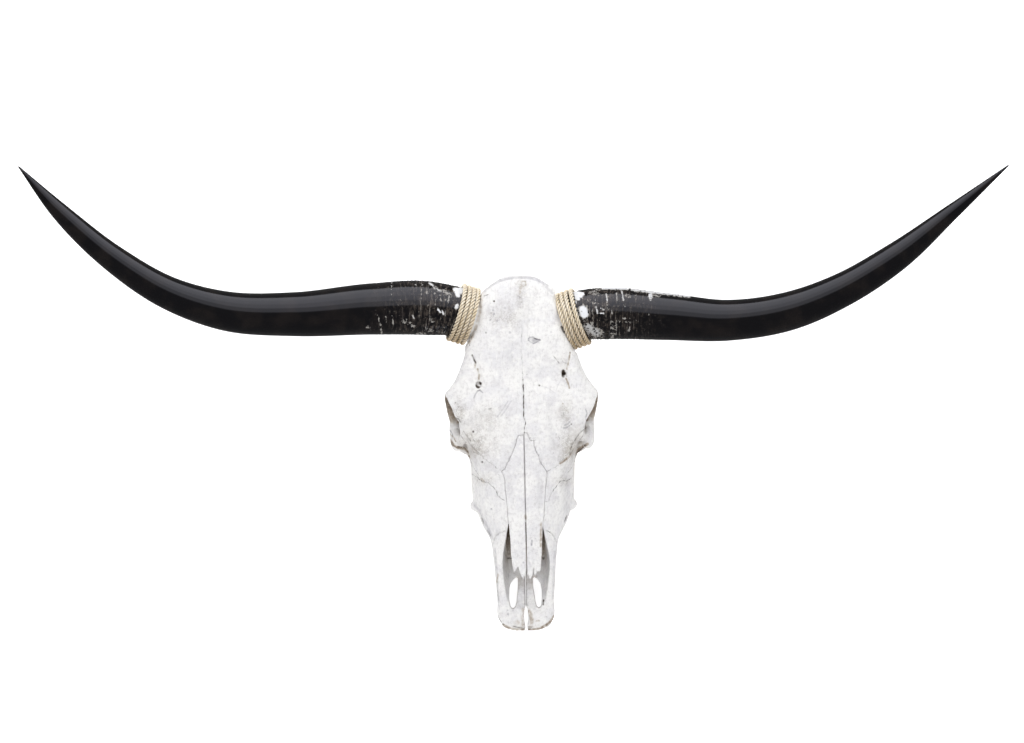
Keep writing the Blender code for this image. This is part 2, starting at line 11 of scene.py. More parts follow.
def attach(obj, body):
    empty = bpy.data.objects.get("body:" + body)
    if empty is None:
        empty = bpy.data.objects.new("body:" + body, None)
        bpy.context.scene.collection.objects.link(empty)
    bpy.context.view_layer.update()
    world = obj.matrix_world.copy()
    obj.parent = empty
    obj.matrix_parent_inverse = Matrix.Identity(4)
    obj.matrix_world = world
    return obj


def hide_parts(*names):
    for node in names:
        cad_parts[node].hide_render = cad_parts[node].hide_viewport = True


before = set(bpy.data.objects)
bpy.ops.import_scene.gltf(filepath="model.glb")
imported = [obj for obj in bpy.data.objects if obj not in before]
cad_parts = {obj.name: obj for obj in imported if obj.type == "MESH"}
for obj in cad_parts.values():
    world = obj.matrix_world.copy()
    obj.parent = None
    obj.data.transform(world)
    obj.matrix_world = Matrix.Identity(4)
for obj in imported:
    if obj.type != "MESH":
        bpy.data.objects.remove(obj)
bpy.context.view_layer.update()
bpy.context.scene.view_settings.view_transform = "Standard"
print("frame loaded")

# The bones are shaped in the skull's own axes, in mm: x to the side, y from the muzzle tip to the
# poll, and h up from the plane of the forehead. skullToRoom lays them on the floor, in metres.
mm = 0.001
lying = {"tilt": 17.5, "floorDepth": 87.7, "middleX": -4.55, "middleY": 330.33}
tilt = math.radians(lying["tilt"])
skullToRoom = (
    Matrix.Translation(
        (-lying["middleX"] * mm, -lying["middleY"] * mm, lying["floorDepth"] * math.cos(tilt) * mm)
    )
    @ Matrix.Rotation(tilt, 4, "X")
    @ Matrix.Diagonal((mm, mm, mm, 1))
)
roomToSkull = skullToRoom.inverted()
helpers = []  # cutters and blanks, taken away at the end
sides = {"left": -1, "right": 1}


# small tools


def linear(code):
    parts = [int(code[i : i + 2], 16) / 255 for i in (1, 3, 5)]
    return tuple(c / 12.92 if c <= 0.04045 else ((c + 0.055) / 1.055) ** 2.4 for c in parts) + (1,)


def rowsOf(text, heads):
    # rows parted by ; with a few single facts in each, and then points of two numbers
    found = []
    for row in text.split(";"):
        facts = [word if word.isalpha() else float(word) for word in row.split()]
        found.append((*facts[:heads], list(zip(facts[heads::2], facts[heads + 1 :: 2]))))
    return found


def placed(name, data):
    made = bpy.data.objects.new(name, data)
    bpy.context.collection.objects.link(made)
    return made


def feed(tree, node, feeds):
    for socket, source in feeds.items():
        if isinstance(source, bpy.types.NodeSocket):
            tree.links.new(source, node.inputs[socket])
        else:
            node.inputs[socket].default_value = source


def addNode(tree, kind, feeds=None, **settings):
    made = tree.nodes.new(kind)
    for name, value in settings.items():
        setattr(made, name, value)
    feed(tree, made, feeds or {})
    return made


def calc(tree, operation, *terms):
    return addNode(tree, "ShaderNodeMath", dict(enumerate(terms)), operation=operation).outputs[0]


def times(tree, first, second):
    return calc(tree, "MULTIPLY", first, second)


def meshObject(name, bm, helper=True):
    bmesh.ops.recalc_face_normals(bm, faces=bm.faces)
    bm.transform(skullToRoom)
    mesh = bpy.data.meshes.new(name)
    bm.to_mesh(mesh)
    bm.free()
    made = placed(name, mesh)
    if helper:
        made.hide_render = True
        helpers.append(made)
    return made


def helperOf(name, build, *facts, **settings):
    bm = bmesh.new()
    build(bm, *facts, **settings)
    return meshObject(name, bm)


def cut(target, tool, operation="DIFFERENCE"):
    step = target.modifiers.new(tool.name, "BOOLEAN")
    step.operation = operation
    step.object = tool


def settled(made):
    # replaces the mesh by what the modifiers make of it
    graph = bpy.context.evaluated_depsgraph_get()
    mesh = bpy.data.meshes.new_from_object(made.evaluated_get(graph))
    made.modifiers.clear()
    made.data = mesh
    return made


def skullMesh(made):
    bm = bmesh.new()
    bm.from_mesh(made.data)
    bm.transform(roomToSkull)
    return bm


def placesOf(bm):
    return np.array([vert.co[:] for vert in bm.verts])


def normalsOf(bm):
    return np.array([vert.normal[:] for vert in bm.verts])


def storeValues(mesh, label, values):
    mesh.attributes.new(label, "FLOAT", "POINT").data.foreach_set("value", np.asarray(values, np.float32))


def runsOf(points):
    # length along the line of points, at each of them
    runs = [0.0]
    for before, after in zip(points, points[1:]):
        runs.append(runs[-1] + (after - before).length)
    return runs


def track(keys, values, places):
    # values at the given places, on a smooth curve through the keyed values
    keys = np.asarray(keys, float)
    values = np.asarray(values, float)
    slopes = np.gradient(values, keys, axis=0)
    found = []
    for place in places:
        i = int(np.clip(np.searchsorted(keys, place) - 1, 0, len(keys) - 2))
        step = keys[i + 1] - keys[i]
        t = (place - keys[i]) / step
        start = values[i] * (1 + 2 * t) * (1 - t) ** 2 + slopes[i] * step * t * (1 - t) ** 2
        end = values[i + 1] * t * t * (3 - 2 * t) + slopes[i + 1] * step * t * t * (t - 1)
        found.append(start + end)
    return np.array(found)


def mirroredRing(half, count):
    half = np.asarray(half, float)
    loop = np.vstack([half, half[-2:0:-1] * (-1, 1)])
    padded = np.vstack([loop[-3:], loop, loop[:3]])
    return track(np.arange(len(padded)) - 3, padded, np.arange(count) * len(loop) / count)


def joinRows(bm, rows, closed=False):
    # faces between neighbouring rows of corners; a closed run also joins the last row to the first
    for near, far in zip(rows, rows[1:] + rows[:1] if closed else rows[1:]):
        for k in range(len(near)):
            j = (k + 1) % len(near)
            bm.faces.new((near[k], near[j], far[j], far[k]))


def loft(bm, rings):
    rows = [[bm.verts.new(point) for point in ring] for ring in rings]
    joinRows(bm, rows)
    bm.faces.new(rows[0][::-1])
    bm.faces.new(rows[-1])


def prism(bm, outline, low, high):
    loft(bm, [[(x, y, h) for x, y in outline] for h in (low, high)])


def ellipsoid(bm, centre, radii, turn=None, segments=32, side=1):
    centre = (side * centre[0], *centre[1:])
    shape = Matrix.Translation(centre) @ (turn or Matrix()) @ Matrix.Diagonal((*radii, 1))
    bmesh.ops.create_uvsphere(bm, u_segments=segments, v_segments=segments // 2, radius=1, matrix=shape)


def block(bm, low, high):
    size = Vector(high) - Vector(low)
    shape = Matrix.Translation((Vector(low) + Vector(high)) / 2) @ Matrix.Diagonal((*size, 1))
    bmesh.ops.create_cube(bm, size=1, matrix=shape)


def grown(outline, distance):
    points = [Vector(point) for point in outline]
    area = sum(a.cross(b) for a, b in zip(points, points[1:] + points[:1]))
    sign = 1 if area > 0 else -1
    moved = []
    for before, point, after in zip(points[-1:] + points[:-1], points, points[1:] + points[:1]):
        first = (point - before).normalized()
        second = (after - point).normalized()
        out = Vector((first.y + second.y, -first.x - second.x)).normalized() * sign
        moved.append(tuple(point + out * distance / max(0.4, abs(out.cross(first)))))
    return moved


def sideOf(points, side):
    return [(side * point[0], *point[1:]) for point in points]


def tube(bm, points, around=20, twist=(0, 0, 1)):
    # each point is x, y, h, width, height of an oval section
    keys = np.arange(len(points))
    points = track(keys, points, np.linspace(0, keys[-1], keys[-1] * 3 + 1))
    path = [Vector(point[:3]) for point in points]
    rings = []
    for i, point in enumerate(points):
        along = (path[min(i + 1, len(path) - 1)] - path[max(i - 1, 0)]).normalized()
        across = along.cross(Vector(twist)).normalized()
        up = across.cross(along)
        ring = []
        for k in range(around):
            angle = 2 * math.pi * k / around
            ring.append(path[i] + across * (point[3] * math.cos(angle)) + up * (point[4] * math.sin(angle)))
        rings.append(ring)
    loft(bm, rings)


def toLine(spots, line):
    # distance of each spot, in a flat view, from a line of points; far ones aren't measured
    best = np.full(len(spots), 1e9)
    line = np.asarray(line, float)
    low, high = line.min(0) - 12, line.max(0) + 12
    inside = np.nonzero(((spots > low) & (spots < high)).all(1))[0]
    near = spots[inside]
    closest = np.full(len(near), 1e9)
    for a, b in zip(line, line[1:]):
        run = b - a
        t = np.clip(((near - a) @ run) / max(run @ run, 1e-9), 0, 1)
        closest = np.minimum(closest, np.linalg.norm(near - a - t[:, None] * run, axis=1))
    best[inside] = closest
    return best


def oneLine(points):
    # a single point becomes a line of no length
    return np.array(points if len(points) > 1 else [points[0], (points[0][0] + 0.01, points[0][1])])


# camera, light and floor

view = {"distance": 5.0, "lens": 120, "aimX": -13.25, "aimY": 379.07, "roll": 1.23}
studio = {
    "panelGlow": [0.75, 1.35, 1.7, 1.8],  # from overhead to the lowest strip behind
    "panelWidth": 7.0,
    "panelAway": 2.6,
    "panelFrom": 96,  # degrees above the floor behind
    "panelTurn": 84,
    "fills": [((0, -3.0, 2.0), 60), ((-2.3, -0.5, 2.6), 29), ((2.3, -0.5, 2.6), 23)],  # place, watts
    "fillSize": 3.0,
    "roomLight": 0.15,
    "tint": (0.985, 0.985, 1.0),  # of the soft panels
    "floor": "#f8f8f8",
    "floorReach": 9,
    "floorGlow": 0.42,  # as on a light table
}


def placeCamera():
    turned = skullToRoom.to_3x3().normalized()
    roll = math.radians(view["roll"])
    away = turned @ Vector((0, 0, 1))
    up = turned @ Vector((math.sin(roll), math.cos(roll), 0))
    data = bpy.data.cameras.new("camera")
    data.lens = view["lens"]
    data.sensor_width = 36
    camera = placed("camera", data)
    pose = Matrix((up.cross(away), up, away)).transposed().to_4x4()
    pose.translation = skullToRoom @ Vector((view["aimX"], view["aimY"], 0)) + away * view["distance"]
    camera.matrix_world = pose
    bpy.context.scene.camera = camera


def areaLight(name, place, aim, width, height, power):
    data = bpy.data.lights.new(name, "AREA")
    data.shape = "RECTANGLE"
    data.size = width
    data.size_y = height
    data.energy = power
    data.color = studio["tint"]
    lamp = placed(name, data)
    lamp.location = place
    lamp.rotation_euler = (Vector(aim) - Vector(place)).to_track_quat("-Z", "Y").to_euler()
    return lamp


def lightStudio():
    # one large panel in strips, from overhead to the floor behind: the horns mirror it as a band
    glow = studio["panelGlow"]
    middle = Vector((0, 0.05, 0.1))
    for i, strength in enumerate(glow):
        ends = []
        for end in (i, i + 1):
            turn = math.radians(studio["panelFrom"] - studio["panelTurn"] * end / len(glow))
            ends.append(middle + Vector((0, math.cos(turn), math.sin(turn))) * studio["panelAway"])
        low, high = ends
        height = (high - low).length
        power = strength * math.pi * studio["panelWidth"] * height
        areaLight(f"soft panel {i + 1}", (low + high) / 2, middle, studio["panelWidth"], height, power)
    for place, power in studio["fills"]:
        fill = areaLight("soft fill", place, (0, 0, 0.1), studio["fillSize"], studio["fillSize"], power)
        fill.visible_glossy = False
    world = bpy.data.worlds.new("studio room")
    world.use_nodes = True
    air = {"Color": (1, 1, 1, 1), "Strength": studio["roomLight"]}
    feed(world.node_tree, world.node_tree.nodes["Background"], air)
    bpy.context.scene.world = world


def layFloor():
    mesh = bpy.data.meshes.new("floor")
    reach = studio["floorReach"]
    corners = [(-reach, -reach, 0), (reach, -reach, 0), (reach, reach, 0), (-reach, reach, 0)]
    mesh.from_pydata(corners, [], [(0, 1, 2, 3)])
    ground = placed("floor", mesh)
    paper, tree, shader = newSurface("white paper sweep, matt")
    feeds = {"Base Color": linear(studio["floor"]), "Roughness": 0.9, "Specular IOR Level": 0.2}
    glow = {"Emission Color": (1, 1, 1, 1), "Emission Strength": studio["floorGlow"]}
    feed(tree, shader, {**feeds, **glow})
    mesh.materials.append(paper)
    ground.visible_glossy = False  # keeps the undersides of the horns dark


# plain skull

# each section: its y, how far it leans back with depth, and nine landmarks (x, h) of one side, from
# the middle of the roof round to the middle of the base
skullSections = rowsOf(
    """
-6 0  0 -69  9 -69  14 -69.5  17 -70.5  17.5 -71.5  17 -72.5  14 -73.5  9 -74  0 -74;
-2.5 0  0 -66  14 -66  22 -66.5  28 -68.5  30 -71  28 -74  22 -76  14 -76.5  0 -76;
6.5 0  0 -64  16 -63.5  29 -63.5  35 -66  38 -70  35 -75  29 -78  14 -79  0 -78;
18 0  0 -63  17 -62  32 -61  40 -64  42.5 -69  40 -77  30 -81  14 -81  0 -80;
34 0  0 -60  17 -59  31 -57  40 -60  42.2 -69  40 -79  30 -84  14 -84  0 -83;
54 0  0 -56  18 -54  33 -52  41.5 -56  43.4 -68  41.5 -83  31 -87  15 -87  0 -86;
75 0  0 -48  20 -47  34 -44  42.5 -50  44.8 -68  42.5 -88  32 -93  16 -92  0 -91;
105 0  0 -36  22 -36  36 -34  44.5 -45  46.8 -70  43.5 -95  33 -100  17 -98  0 -97;
130 0  0 -22  24 -23  38 -27  47 -44  51 -72  47.5 -102  37 -107  18 -103  0 -102;
150 0  0 -14  25 -17  40 -27  53 -50  61 -80  60 -110  48 -116  24 -110  0 -108;
168 0  0 -11  26 -15  43 -27  58 -54  68 -85  64 -117  50 -122  25 -115  0 -113;
184 0  0 -10  27 -14  46 -26  61 -54  71 -86  64 -122  49 -127  26 -119  0 -117;
210 0  0 -8  31 -11  52 -23  66 -51  73 -86  68 -128  50 -134  27 -126  0 -124;
240 0  0 -5  36 -6  60 -16  71 -48  75.5 -86  70 -138  51 -143  28 -135  0 -133;
268 0  0 -2  50 -3  74 -12  79 -46  81.5 -90  71 -144  53 -152  29 -143  0 -141;
300 0  0 0  62 0  90 -8  88 -50  92 -94  70 -140  54 -158  30 -148  0 -146;
322 0  0 1  64 1  103 -9  89 -48  84 -92  50 -120  34 -140  20 -142  0 -140;
345 0  0 0  68 0  112 -14  83 -36  54 -70  46 -105  32 -130  16 -136  0 -136;
370 0  0 -1  62 -1  96 -15  80 -31  48 -58  48 -100  34 -128  18 -140  0 -142;
400 0  0 1  56 0  83 -14  76 -32  50 -56  54 -104  38 -134  20 -150  0 -153;
430 0.05  0 2  51 1  73 -12  73 -32  64 -56  72 -108  50 -142  25 -158  0 -162;
458 0.12  0 1  46 -1  62 -12  64 -34  64 -60  74 -110  52 -144  27 -162  0 -167;
484 0.22  0 0  45 -2  60 -14  62 -36  64 -62  72 -108  50 -142  27 -162  0 -167;
504 0.33  0 -3  39 -6  53 -17  56 -36  59 -62  61 -104  45 -136  26 -155  0 -160;
518 0.37  0 -8  27 -11  37 -22  41 -42  46 -64  45 -98  35 -122  20 -138  0 -142;
527 0.4  0 -16  16 -18  26 -28  30 -46  30 -64  29 -86  22 -104  11 -116  0 -118;
531 0.41  0 -26  8 -27  13 -34  15 -46  15 -62  14 -80  10 -94  5 -100  0 -101
""",
    2,
)


def skullRings(around=96, spacing=3.5):
    keys = [y for y, lean, landmarks in skullSections]
    leans = [lean for y, lean, landmarks in skullSections]
    halves = np.array([landmarks for y, lean, landmarks in skullSections])
    places = sorted(set(np.arange(keys[0], keys[-1], spacing)) | set(keys))
    rings = []
    for place, half, lean in zip(places, track(keys, halves, places), np.interp(places, keys, leans)):
        rings.append([(x, place + lean * h, h) for x, h in mirroredRing(half, around)])
    return rings


# orbits, arches, ear, nape and palate

orbit = {
    "centre": (95.5, 314.0, -55.0),
    "turn": 16,
    "lean": 11,
    "radius": 34.0,
    "rim": 7.3,
    "hollow": (52.0, 31.0, 31.0),
}
cheek = {
    "arch": [
        (77, 261, -88, 7, 9), (88, 268, -88, 9, 10), (97, 277, -89, 9.5, 11), (99, 290, -91, 9, 12),
        (99, 306, -93, 8.5, 12), (98, 325, -97, 7, 11), (96, 347, -100, 5.5, 9), (89, 370, -104, 4.5, 8),
        (80, 394, -105, 5, 8), (68, 414, -107, 8, 9),
    ],
    "bar": [(99, 340, -16, 8, 10), (100, 343, -55, 7, 10), (98, 342, -98, 6, 10)],
    "crest": [(66, 181, -88, 9, 10), (70, 212, -90, 7, 8), (72, 243, -92, 6, 9), (78, 262, -92, 7, 9)],
    "knobs": [  # centre and radii: jaw joint, corner of the arch, facial tuber, lacrimal lobe
        ((64, 414, -110), (20, 15, 11)),
        ((98, 331, -90), (7, 11, 11)),
        ((65, 180, -88), (15, 10, 10)),
        ((97.0, 279, -70), (10, 17, 24)),
    ],
}
backOfHead = {
    "ear": [(50, 430, -112, 9, 9), (79, 424, -108, 7, 7)],
    "bulla": ((37, 408, -156), (10, 15, 15)),
    "process": [
        (54, 446, -122, 21, 14), (55, 441, -158, 17, 9), (54, 437, -195, 12, 6.5), (51, 433, -232, 8, 4.5),
    ],
    "condyle": ((24, 455, -157), (15.5, 18, 23)),
    "condyleLean": -24,
    "condyleFoot": ((22, 438, -170), (10, 16, 12)),
    "ridge": [(2, 512, -44, 8, 7), (2, 493, -82, 7, 6), (2, 476, -118, 5, 4)],
}
palatePlate = [(25, 282, -138, 5, 16), (23, 310, -148, 3, 17), (21, 340, -148, 3, 16), (22, 366, -138, 4, 8)]


def orbitTurn(side):
    turn = Matrix.Rotation(-math.radians(orbit["turn"]) * side, 4, "Z")
    return turn @ Matrix.Rotation(-math.radians(orbit["lean"]) * side, 4, "Y")


def orbitRim(bm, side, around=56, across=20):
    x, y, h = orbit["centre"]
    centre = Vector((side * x, y, h))
    turn = orbitTurn(side)
    rows = []
    for i in range(around):
        angle = 2 * math.pi * i / around
        spoke = Vector((0, math.cos(angle), math.sin(angle)))
        row = []
        for k in range(across):
            bend = 2 * math.pi * k / across
            local = spoke * (orbit["radius"] + orbit["rim"] * math.cos(bend))
            local += Vector((orbit["rim"] * math.sin(bend), 0, 0))
            row.append(bm.verts.new(centre + turn @ local))
        rows.append(row)
    joinRows(bm, rows, closed=True)


def cheekBones(bm, side):
    tube(bm, sideOf(cheek["arch"], side))
    tube(bm, sideOf(cheek["bar"], side), twist=(1, 0, 0))
    for centre, radii in cheek["knobs"]:
        ellipsoid(bm, centre, radii, side=side)
    tube(bm, sideOf(cheek["crest"], side))


def backBones(bm, side):
    tube(bm, sideOf(backOfHead["ear"], side))
    ellipsoid(bm, *backOfHead["bulla"], side=side)
    tube(bm, sideOf(backOfHead["process"], side), twist=(1, 0, 0))
    lean = Matrix.Rotation(math.radians(backOfHead["condyleLean"]), 4, "X")
    ellipsoid(bm, *backOfHead["condyle"], lean, side=side)
    ellipsoid(bm, *backOfHead["condyleFoot"], side=side)
    tube(bm, sideOf(backOfHead["ridge"], side), twist=(1, 0, 0))


# teeth

teeth = {
    "rowStart": 150.0,
    "gap": 1.0,
    "gumHeight": 42,  # of the highest ring of a crown, above the floor
    "squareness": 0.62,  # 1 would be an ellipse, and less is squarer
    "crowns": [  # length along the row, width, distance from the middle, lobes
        (18, 18, 51, 1), (18, 20, 53, 1), (18, 21, 56, 1),
        (27, 24, 58.5, 2), (28, 24, 60, 2), (29, 23, 60.5, 2),
    ],
    "root": [(0, 0.8), (14, 0.9), (26, 0.9)],  # drop from the gum, share of the full width
    "crown": [(8, 0.84), (14, 0.9), (20, 0.95), (26, 0.99), (32, 1.0), (38, 0.98), (46, 0.95)],
}


def squared(value):
    return math.copysign(abs(value) ** teeth["squareness"], value)


def crownRing(length, width, lobes, around=40):
    ring = []
    for k in range(around):
        angle = 2 * math.pi * (k + 0.5) / around
        x = squared(math.cos(angle)) * width / 2
        y = squared(math.sin(angle)) * length / 2
        pinch = 0.24 * math.exp(-((y / (0.12 * length)) ** 2)) if lobes == 2 else 0.0
        rib = 0.05 * math.cos(10 * math.pi * y / length)
        ring.append((x * (1 - pinch + rib), y))
    return ring


def toothRow(bm, side, swells, size=1.0):
    # crowns stand square to the floor, so in the skull's axes they lean towards the muzzle
    start = teeth["rowStart"]
    down = Vector((0, -math.sin(tilt), -math.cos(tilt)))
    for length, width, reach, lobes in teeth["crowns"]:
        centre = start + length / 2
        floorDepth = lying["floorDepth"] + centre * math.tan(tilt)
        gum = Vector((side * reach, centre, -floorDepth + teeth["gumHeight"]))
        ring = crownRing(length - teeth["gap"], width, lobes)
        rings = []
        for drop, swell in swells:
            middle = gum + down * drop
            rings.append([middle + Vector((side * x * swell * size, y * swell * size, 0)) for x, y in ring])
        loft(bm, rings)
        start += length


# horn seats

hornBase = {
    "radius": 37.2,
    "turn": 18,  # degrees from straight out to the side, towards the poll
    "rise": 8,  # degrees out of the plane of the forehead
    "gap": 0.3,
    "coreDepth": 52,
    "seats": {"left": (-83.0, 464.8, -38.0), "right": (78.7, 454.8, -38.0)},
}
# room is what the bone keeps clear of the rope, beyond its own thickness
lashing = {"diameter": 6.9, "turns": 4, "room": {"left": 0.9, "right": 9.0}}


def hornAxes(sideName):
    # the seat of a horn, the way that it grows, and two ways square to that
    turn, rise = math.radians(hornBase["turn"]), math.radians(hornBase["rise"])
    flat = Vector((sides[sideName] * math.cos(turn), math.sin(turn), 0))
    axis = flat * math.cos(rise) + Vector((0, 0, math.sin(rise)))
    across = axis.cross(Vector((0, 0, 1))).normalized()
    return Vector(hornBase["seats"][sideName]), axis, across, across.cross(axis)


def hornCore(bm, sideName):
    seat, axis = hornAxes(sideName)[:2]
    radius = hornBase["radius"]
    inner = seat - axis * hornBase["coreDepth"]
    outer = seat - axis * hornBase["gap"] / 2
    tube(bm, [(*inner, radius * 0.8, radius * 0.8), (*outer, radius, radius)], around=64)


def ropeSeat(bm, sideName, around=96):
    inner = hornBase["radius"] + hornBase["gap"] / 2
    outer = hornBase["radius"] + lashing["diameter"] + lashing["room"][sideName]
    half = lashing["turns"] * lashing["diameter"] / 2 + 0.6
    profile = [(inner, -half), (inner, half + 4), (outer, half + 4), (outer, -half)]
    seat, axis, across, up = hornAxes(sideName)
    rows = []
    for i in range(around):
        angle = 2 * math.pi * i / around
        spoke = across * math.cos(angle) + up * math.sin(angle)
        rows.append([bm.verts.new(seat + spoke * radius + axis * along) for radius, along in profile])
    joinRows(bm, rows, closed=True)


# nose

nasals = {
    "seam": 2.2,
    "gap": 0.08,
    "wander": 1.0,
    "wanderFrom": 231,  # y beyond which the outline is a suture
    "thickness": 4.5,
    "arch": [(60, -26, 10), (100, -18, 8), (150, -12, 5.5), (200, -8, 4), (240, -4.5, 1.5), (300, 0.5, 0.3)],
}
# x from the seam and y
nasals["outline"] = dict(
    rowsOf(
        """
left  0.5 287.4  3.3 284.6  7.8 284.7  9.6 281.6  10.7 279.2  12.2 273  14 268.4  16.2 262.4  19.8 255.6
    22.8 248.4  26.4 241.8  29.8 235.8  33.3 232.2  32.6 229  30.9 226.6  29.3 219.8  29 206  28 196
    26.9 187  26 168  24.7 150  23.4 132  22.6 110  21.8 101  20.9 92  18.7 83  16.1 86.8  12.4 91.6
    10.1 83  8 77  6 73  2.3 79  0.5 90;
right  0.5 287.4  3.2 288.8  4.4 288.1  7.2 282.2  9.8 277.6  13.1 276.9  14.8 270  16.2 264.2  19.6 256
    24.1 244  28.8 237  33.1 229.4  33 226.8  31.2 216  30 205.2  29.4 196  28.6 187  27 168  24.9 150
    23.6 132  22.6 112  22 102.6  20.6 87.2  18.7 83  15.7 84.8  11.9 77.7  10.5 82  10.2 91  8.4 78
    4.4 72.3  0.6 81.5
""",
        1,
    )
)
nose = {
    "middle": 1.4,
    "trough": [  # y, half width of the rim, half width of the floor, height of the rim, of the floor
        (24, 17, 8, -54, -60.5), (38, 26.6, 18, -58, -68), (54, 30, 25, -58, -70), (73, 32.7, 26, -54, -77),
        (100, 34.3, 27, -44, -86), (127, 30.0, 27, -34, -90),
        (151, 25.5, 25, -24, -94), (157, 24.3, 24, -22, -94),
    ],
    "passage": [(142, 25, -58), (190, 25, -62), (225, 21, -62), (240, 12, -60)],  # y, radius, h
    "fissure": [
        (14.2, 36), (15.8, 30), (20, 26), (23, 31), (24.2, 42), (24.2, 54), (22.5, 63), (18, 69.5),
        (11, 74.5), (11.2, 58), (13, 46),
    ],
    "cleft": [(2.2, -12), (1.4, -2), (1.5, 4), (2.9, 10), (3.2, 16), (2.4, 23), (0.15, 31), (0.15, 150)],
    "suture": ((96.0, -95.0), (142.0, -25.0)),
    "rear": ((0, 322, -142), (17, 34, 14)),
}
nape = {
    "hollow": ((29, 497, -82), (21, 15, 34)),
    "spine": [(0, 400, -136, 13, 11), (0, 440, -138, 17, 16), (0, 490, -142, 18, 17)],
}


def nasalOutline(side):
    outline = nasals["outline"]["left" if side < 0 else "right"]
    bound = nasals["wanderFrom"]
    upper = wandering([spot for spot in outline if spot[1] > bound], nasals["wander"], 5.1 * side)
    outline = [tuple(spot) for spot in upper] + [spot for spot in outline if spot[1] < bound]
    return [(nasals["seam"] + side * x, y) for x, y in outline]


def nasalSlab(bm, above, below, stops=90, strips=60):
    arch = nasals["arch"]
    keys = [row[0] for row in arch]
    places = np.linspace(keys[0], keys[-1], stops)
    across = np.linspace(-44, 44, strips)
    rings = []
    for place, (crest, fall) in zip(places, track(keys, [row[1:] for row in arch], places)):
        roof = [(x, place, crest - fall * (x / 30) ** 2) for x in across]
        rings.append([(x, y, h + above) for x, y, h in roof] + [(x, y, h - below) for x, y, h in roof[::-1]])
    loft(bm, rings)


def noseTrough(bm):
    rows = nose["trough"]
    keys = [row[0] for row in rows]
    places = np.arange(keys[0], keys[-1] + 1, 3.5)
    rings = []
    for place, row in zip(places, track(keys, [row[1:] for row in rows], places)):
        rim, floor, rimHeight, floorHeight = row
        right = [(0, 30), (rim, 30), (rim, rimHeight), (floor, floorHeight), (0, floorHeight)]
        left = [(-x, h) for x, h in right[3:0:-1]]
        rings.append([(x + nose["middle"], place, h) for x, h in right + left])
    loft(bm, rings)


def skullCutters():
    cutters = []
    x, y, h = orbit["centre"]
    for side in (-1, 1):
        hollow = {"turn": orbitTurn(side), "segments": 64, "side": side}
        cutters.append(helperOf(f"orbitHollow{side}", ellipsoid, (x + 4, y, h), orbit["hollow"], **hollow))
        cutters.append(helperOf(f"fissure{side}", prism, sideOf(nose["fissure"], side), -130, -30))
        cutters.append(helperOf(f"napeHollow{side}", ellipsoid, *nape["hollow"], side=side))
    passage = [(0, y, h, radius, radius * 1.5) for y, radius, h in nose["passage"]]
    cutters.append(helperOf("noseTrough", noseTrough))
    cutters.append(helperOf("nosePassage", tube, passage, around=40))
    cutters.append(helperOf("rearNose", ellipsoid, *nose["rear"]))
    cutters.append(helperOf("spinalOpening", tube, nape["spine"], around=40))
    return cutters


def sutureBlock(name, shift):
    # all that lies in front of the slanting suture between incisive bone and upper jaw
    (lowY, lowH), (highY, highH) = nose["suture"]
    slope = (highY - lowY) / (highH - lowH)
    low, high = [(lowY + (h - lowH) * slope + shift, h) for h in (-140.0, 60.0)]
    outline = [(-60, -140), low, high, (-60, 60)]
    return helperOf(name, loft, [[(x, *spot) for spot in outline] for x in (-90.0, 90.0)])


# one skin for all fused bones

skin = {
    "voxel": 1.4,
    "smoothing": 6,
    "triangles": 104000,
    "finest": 1.2,  # edge length along the carved lines
    "waves": [(38, 0.8), (14, 0.35), (5, 0.16), (2.4, 0.08)],  # length and height
}
# broad forms of the face in the x, y view: half width, height (below 0 is a hollow), line
faceForms = rowsOf(
    """
5 1.6  5 506  5.2 506.2;
11 1.3  3 515  2 480  2 450;
13 -1.3  -14 410  -14 411;
12 -1.3  20 408  20 409;
3.6 -2  -70 404  -68 392  -63 375  -62 360  -64 341;
3 -1.8  50 401  57 391.5  62.6 377  64.3 372  69.7 353;
2.6 -1.5  71.8 402  68 385;
9 -0.9  -60 345  -56 320  -57 300;
9 -0.9  66 340  61 318  60 300;
8 1  -78 380  -86 350  -82 322;
8 1  80 380  88 350  84 322;
9 -1.2  -47 236  -42 205;
9 -1.2  50 236  46 205
""",
    2,
)


def skullBlank():
    plain = helperOf("plainSkull", loft, skullRings())
    for cutter in skullCutters():
        cut(plain, cutter)
    bm = skullMesh(settled(plain))
    for side in (-1, 1):
        orbitRim(bm, side)
        cheekBones(bm, side)
        backBones(bm, side)
        tube(bm, sideOf(palatePlate, side))
        toothRow(bm, side, teeth["root"], 0.9)
    for sideName in sides:
        hornCore(bm, sideName)
    blank = meshObject("skullBlank", bm)
    remesh = blank.modifiers.new("one skin", "REMESH")
    remesh.mode = "VOXEL"
    remesh.voxel_size = skin["voxel"] * mm
    soft = blank.modifiers.new("soft edges", "SMOOTH")
    soft.factor = 0.5
    soft.iterations = skin["smoothing"]
    settled(blank)
    thin = blank.modifiers.new("fewer faces", "DECIMATE")
    thin.ratio = min(1.0, skin["triangles"] / (2 * len(blank.data.polygons)))
    settled(blank)
    bm = skullMesh(blank)
    spots = placesOf(bm)
    facing = np.clip(normalsOf(bm)[:, 2] * 2 - 0.6, 0, 1)
    rise = np.zeros(len(spots))
    for width, height, line in faceForms:
        rise += height * np.exp(-((toLine(spots[:, :2], line) / width) ** 2)) * facing
    for vert, lift in zip(bm.verts, rise):
        wave = sum(depth * noise.noise(vert.co / length) for length, depth in skin["waves"])
        vert.co += vert.normal * (wave + float(lift))
    return meshObject("skullSkin", bm)


# sutures, foramina and pits

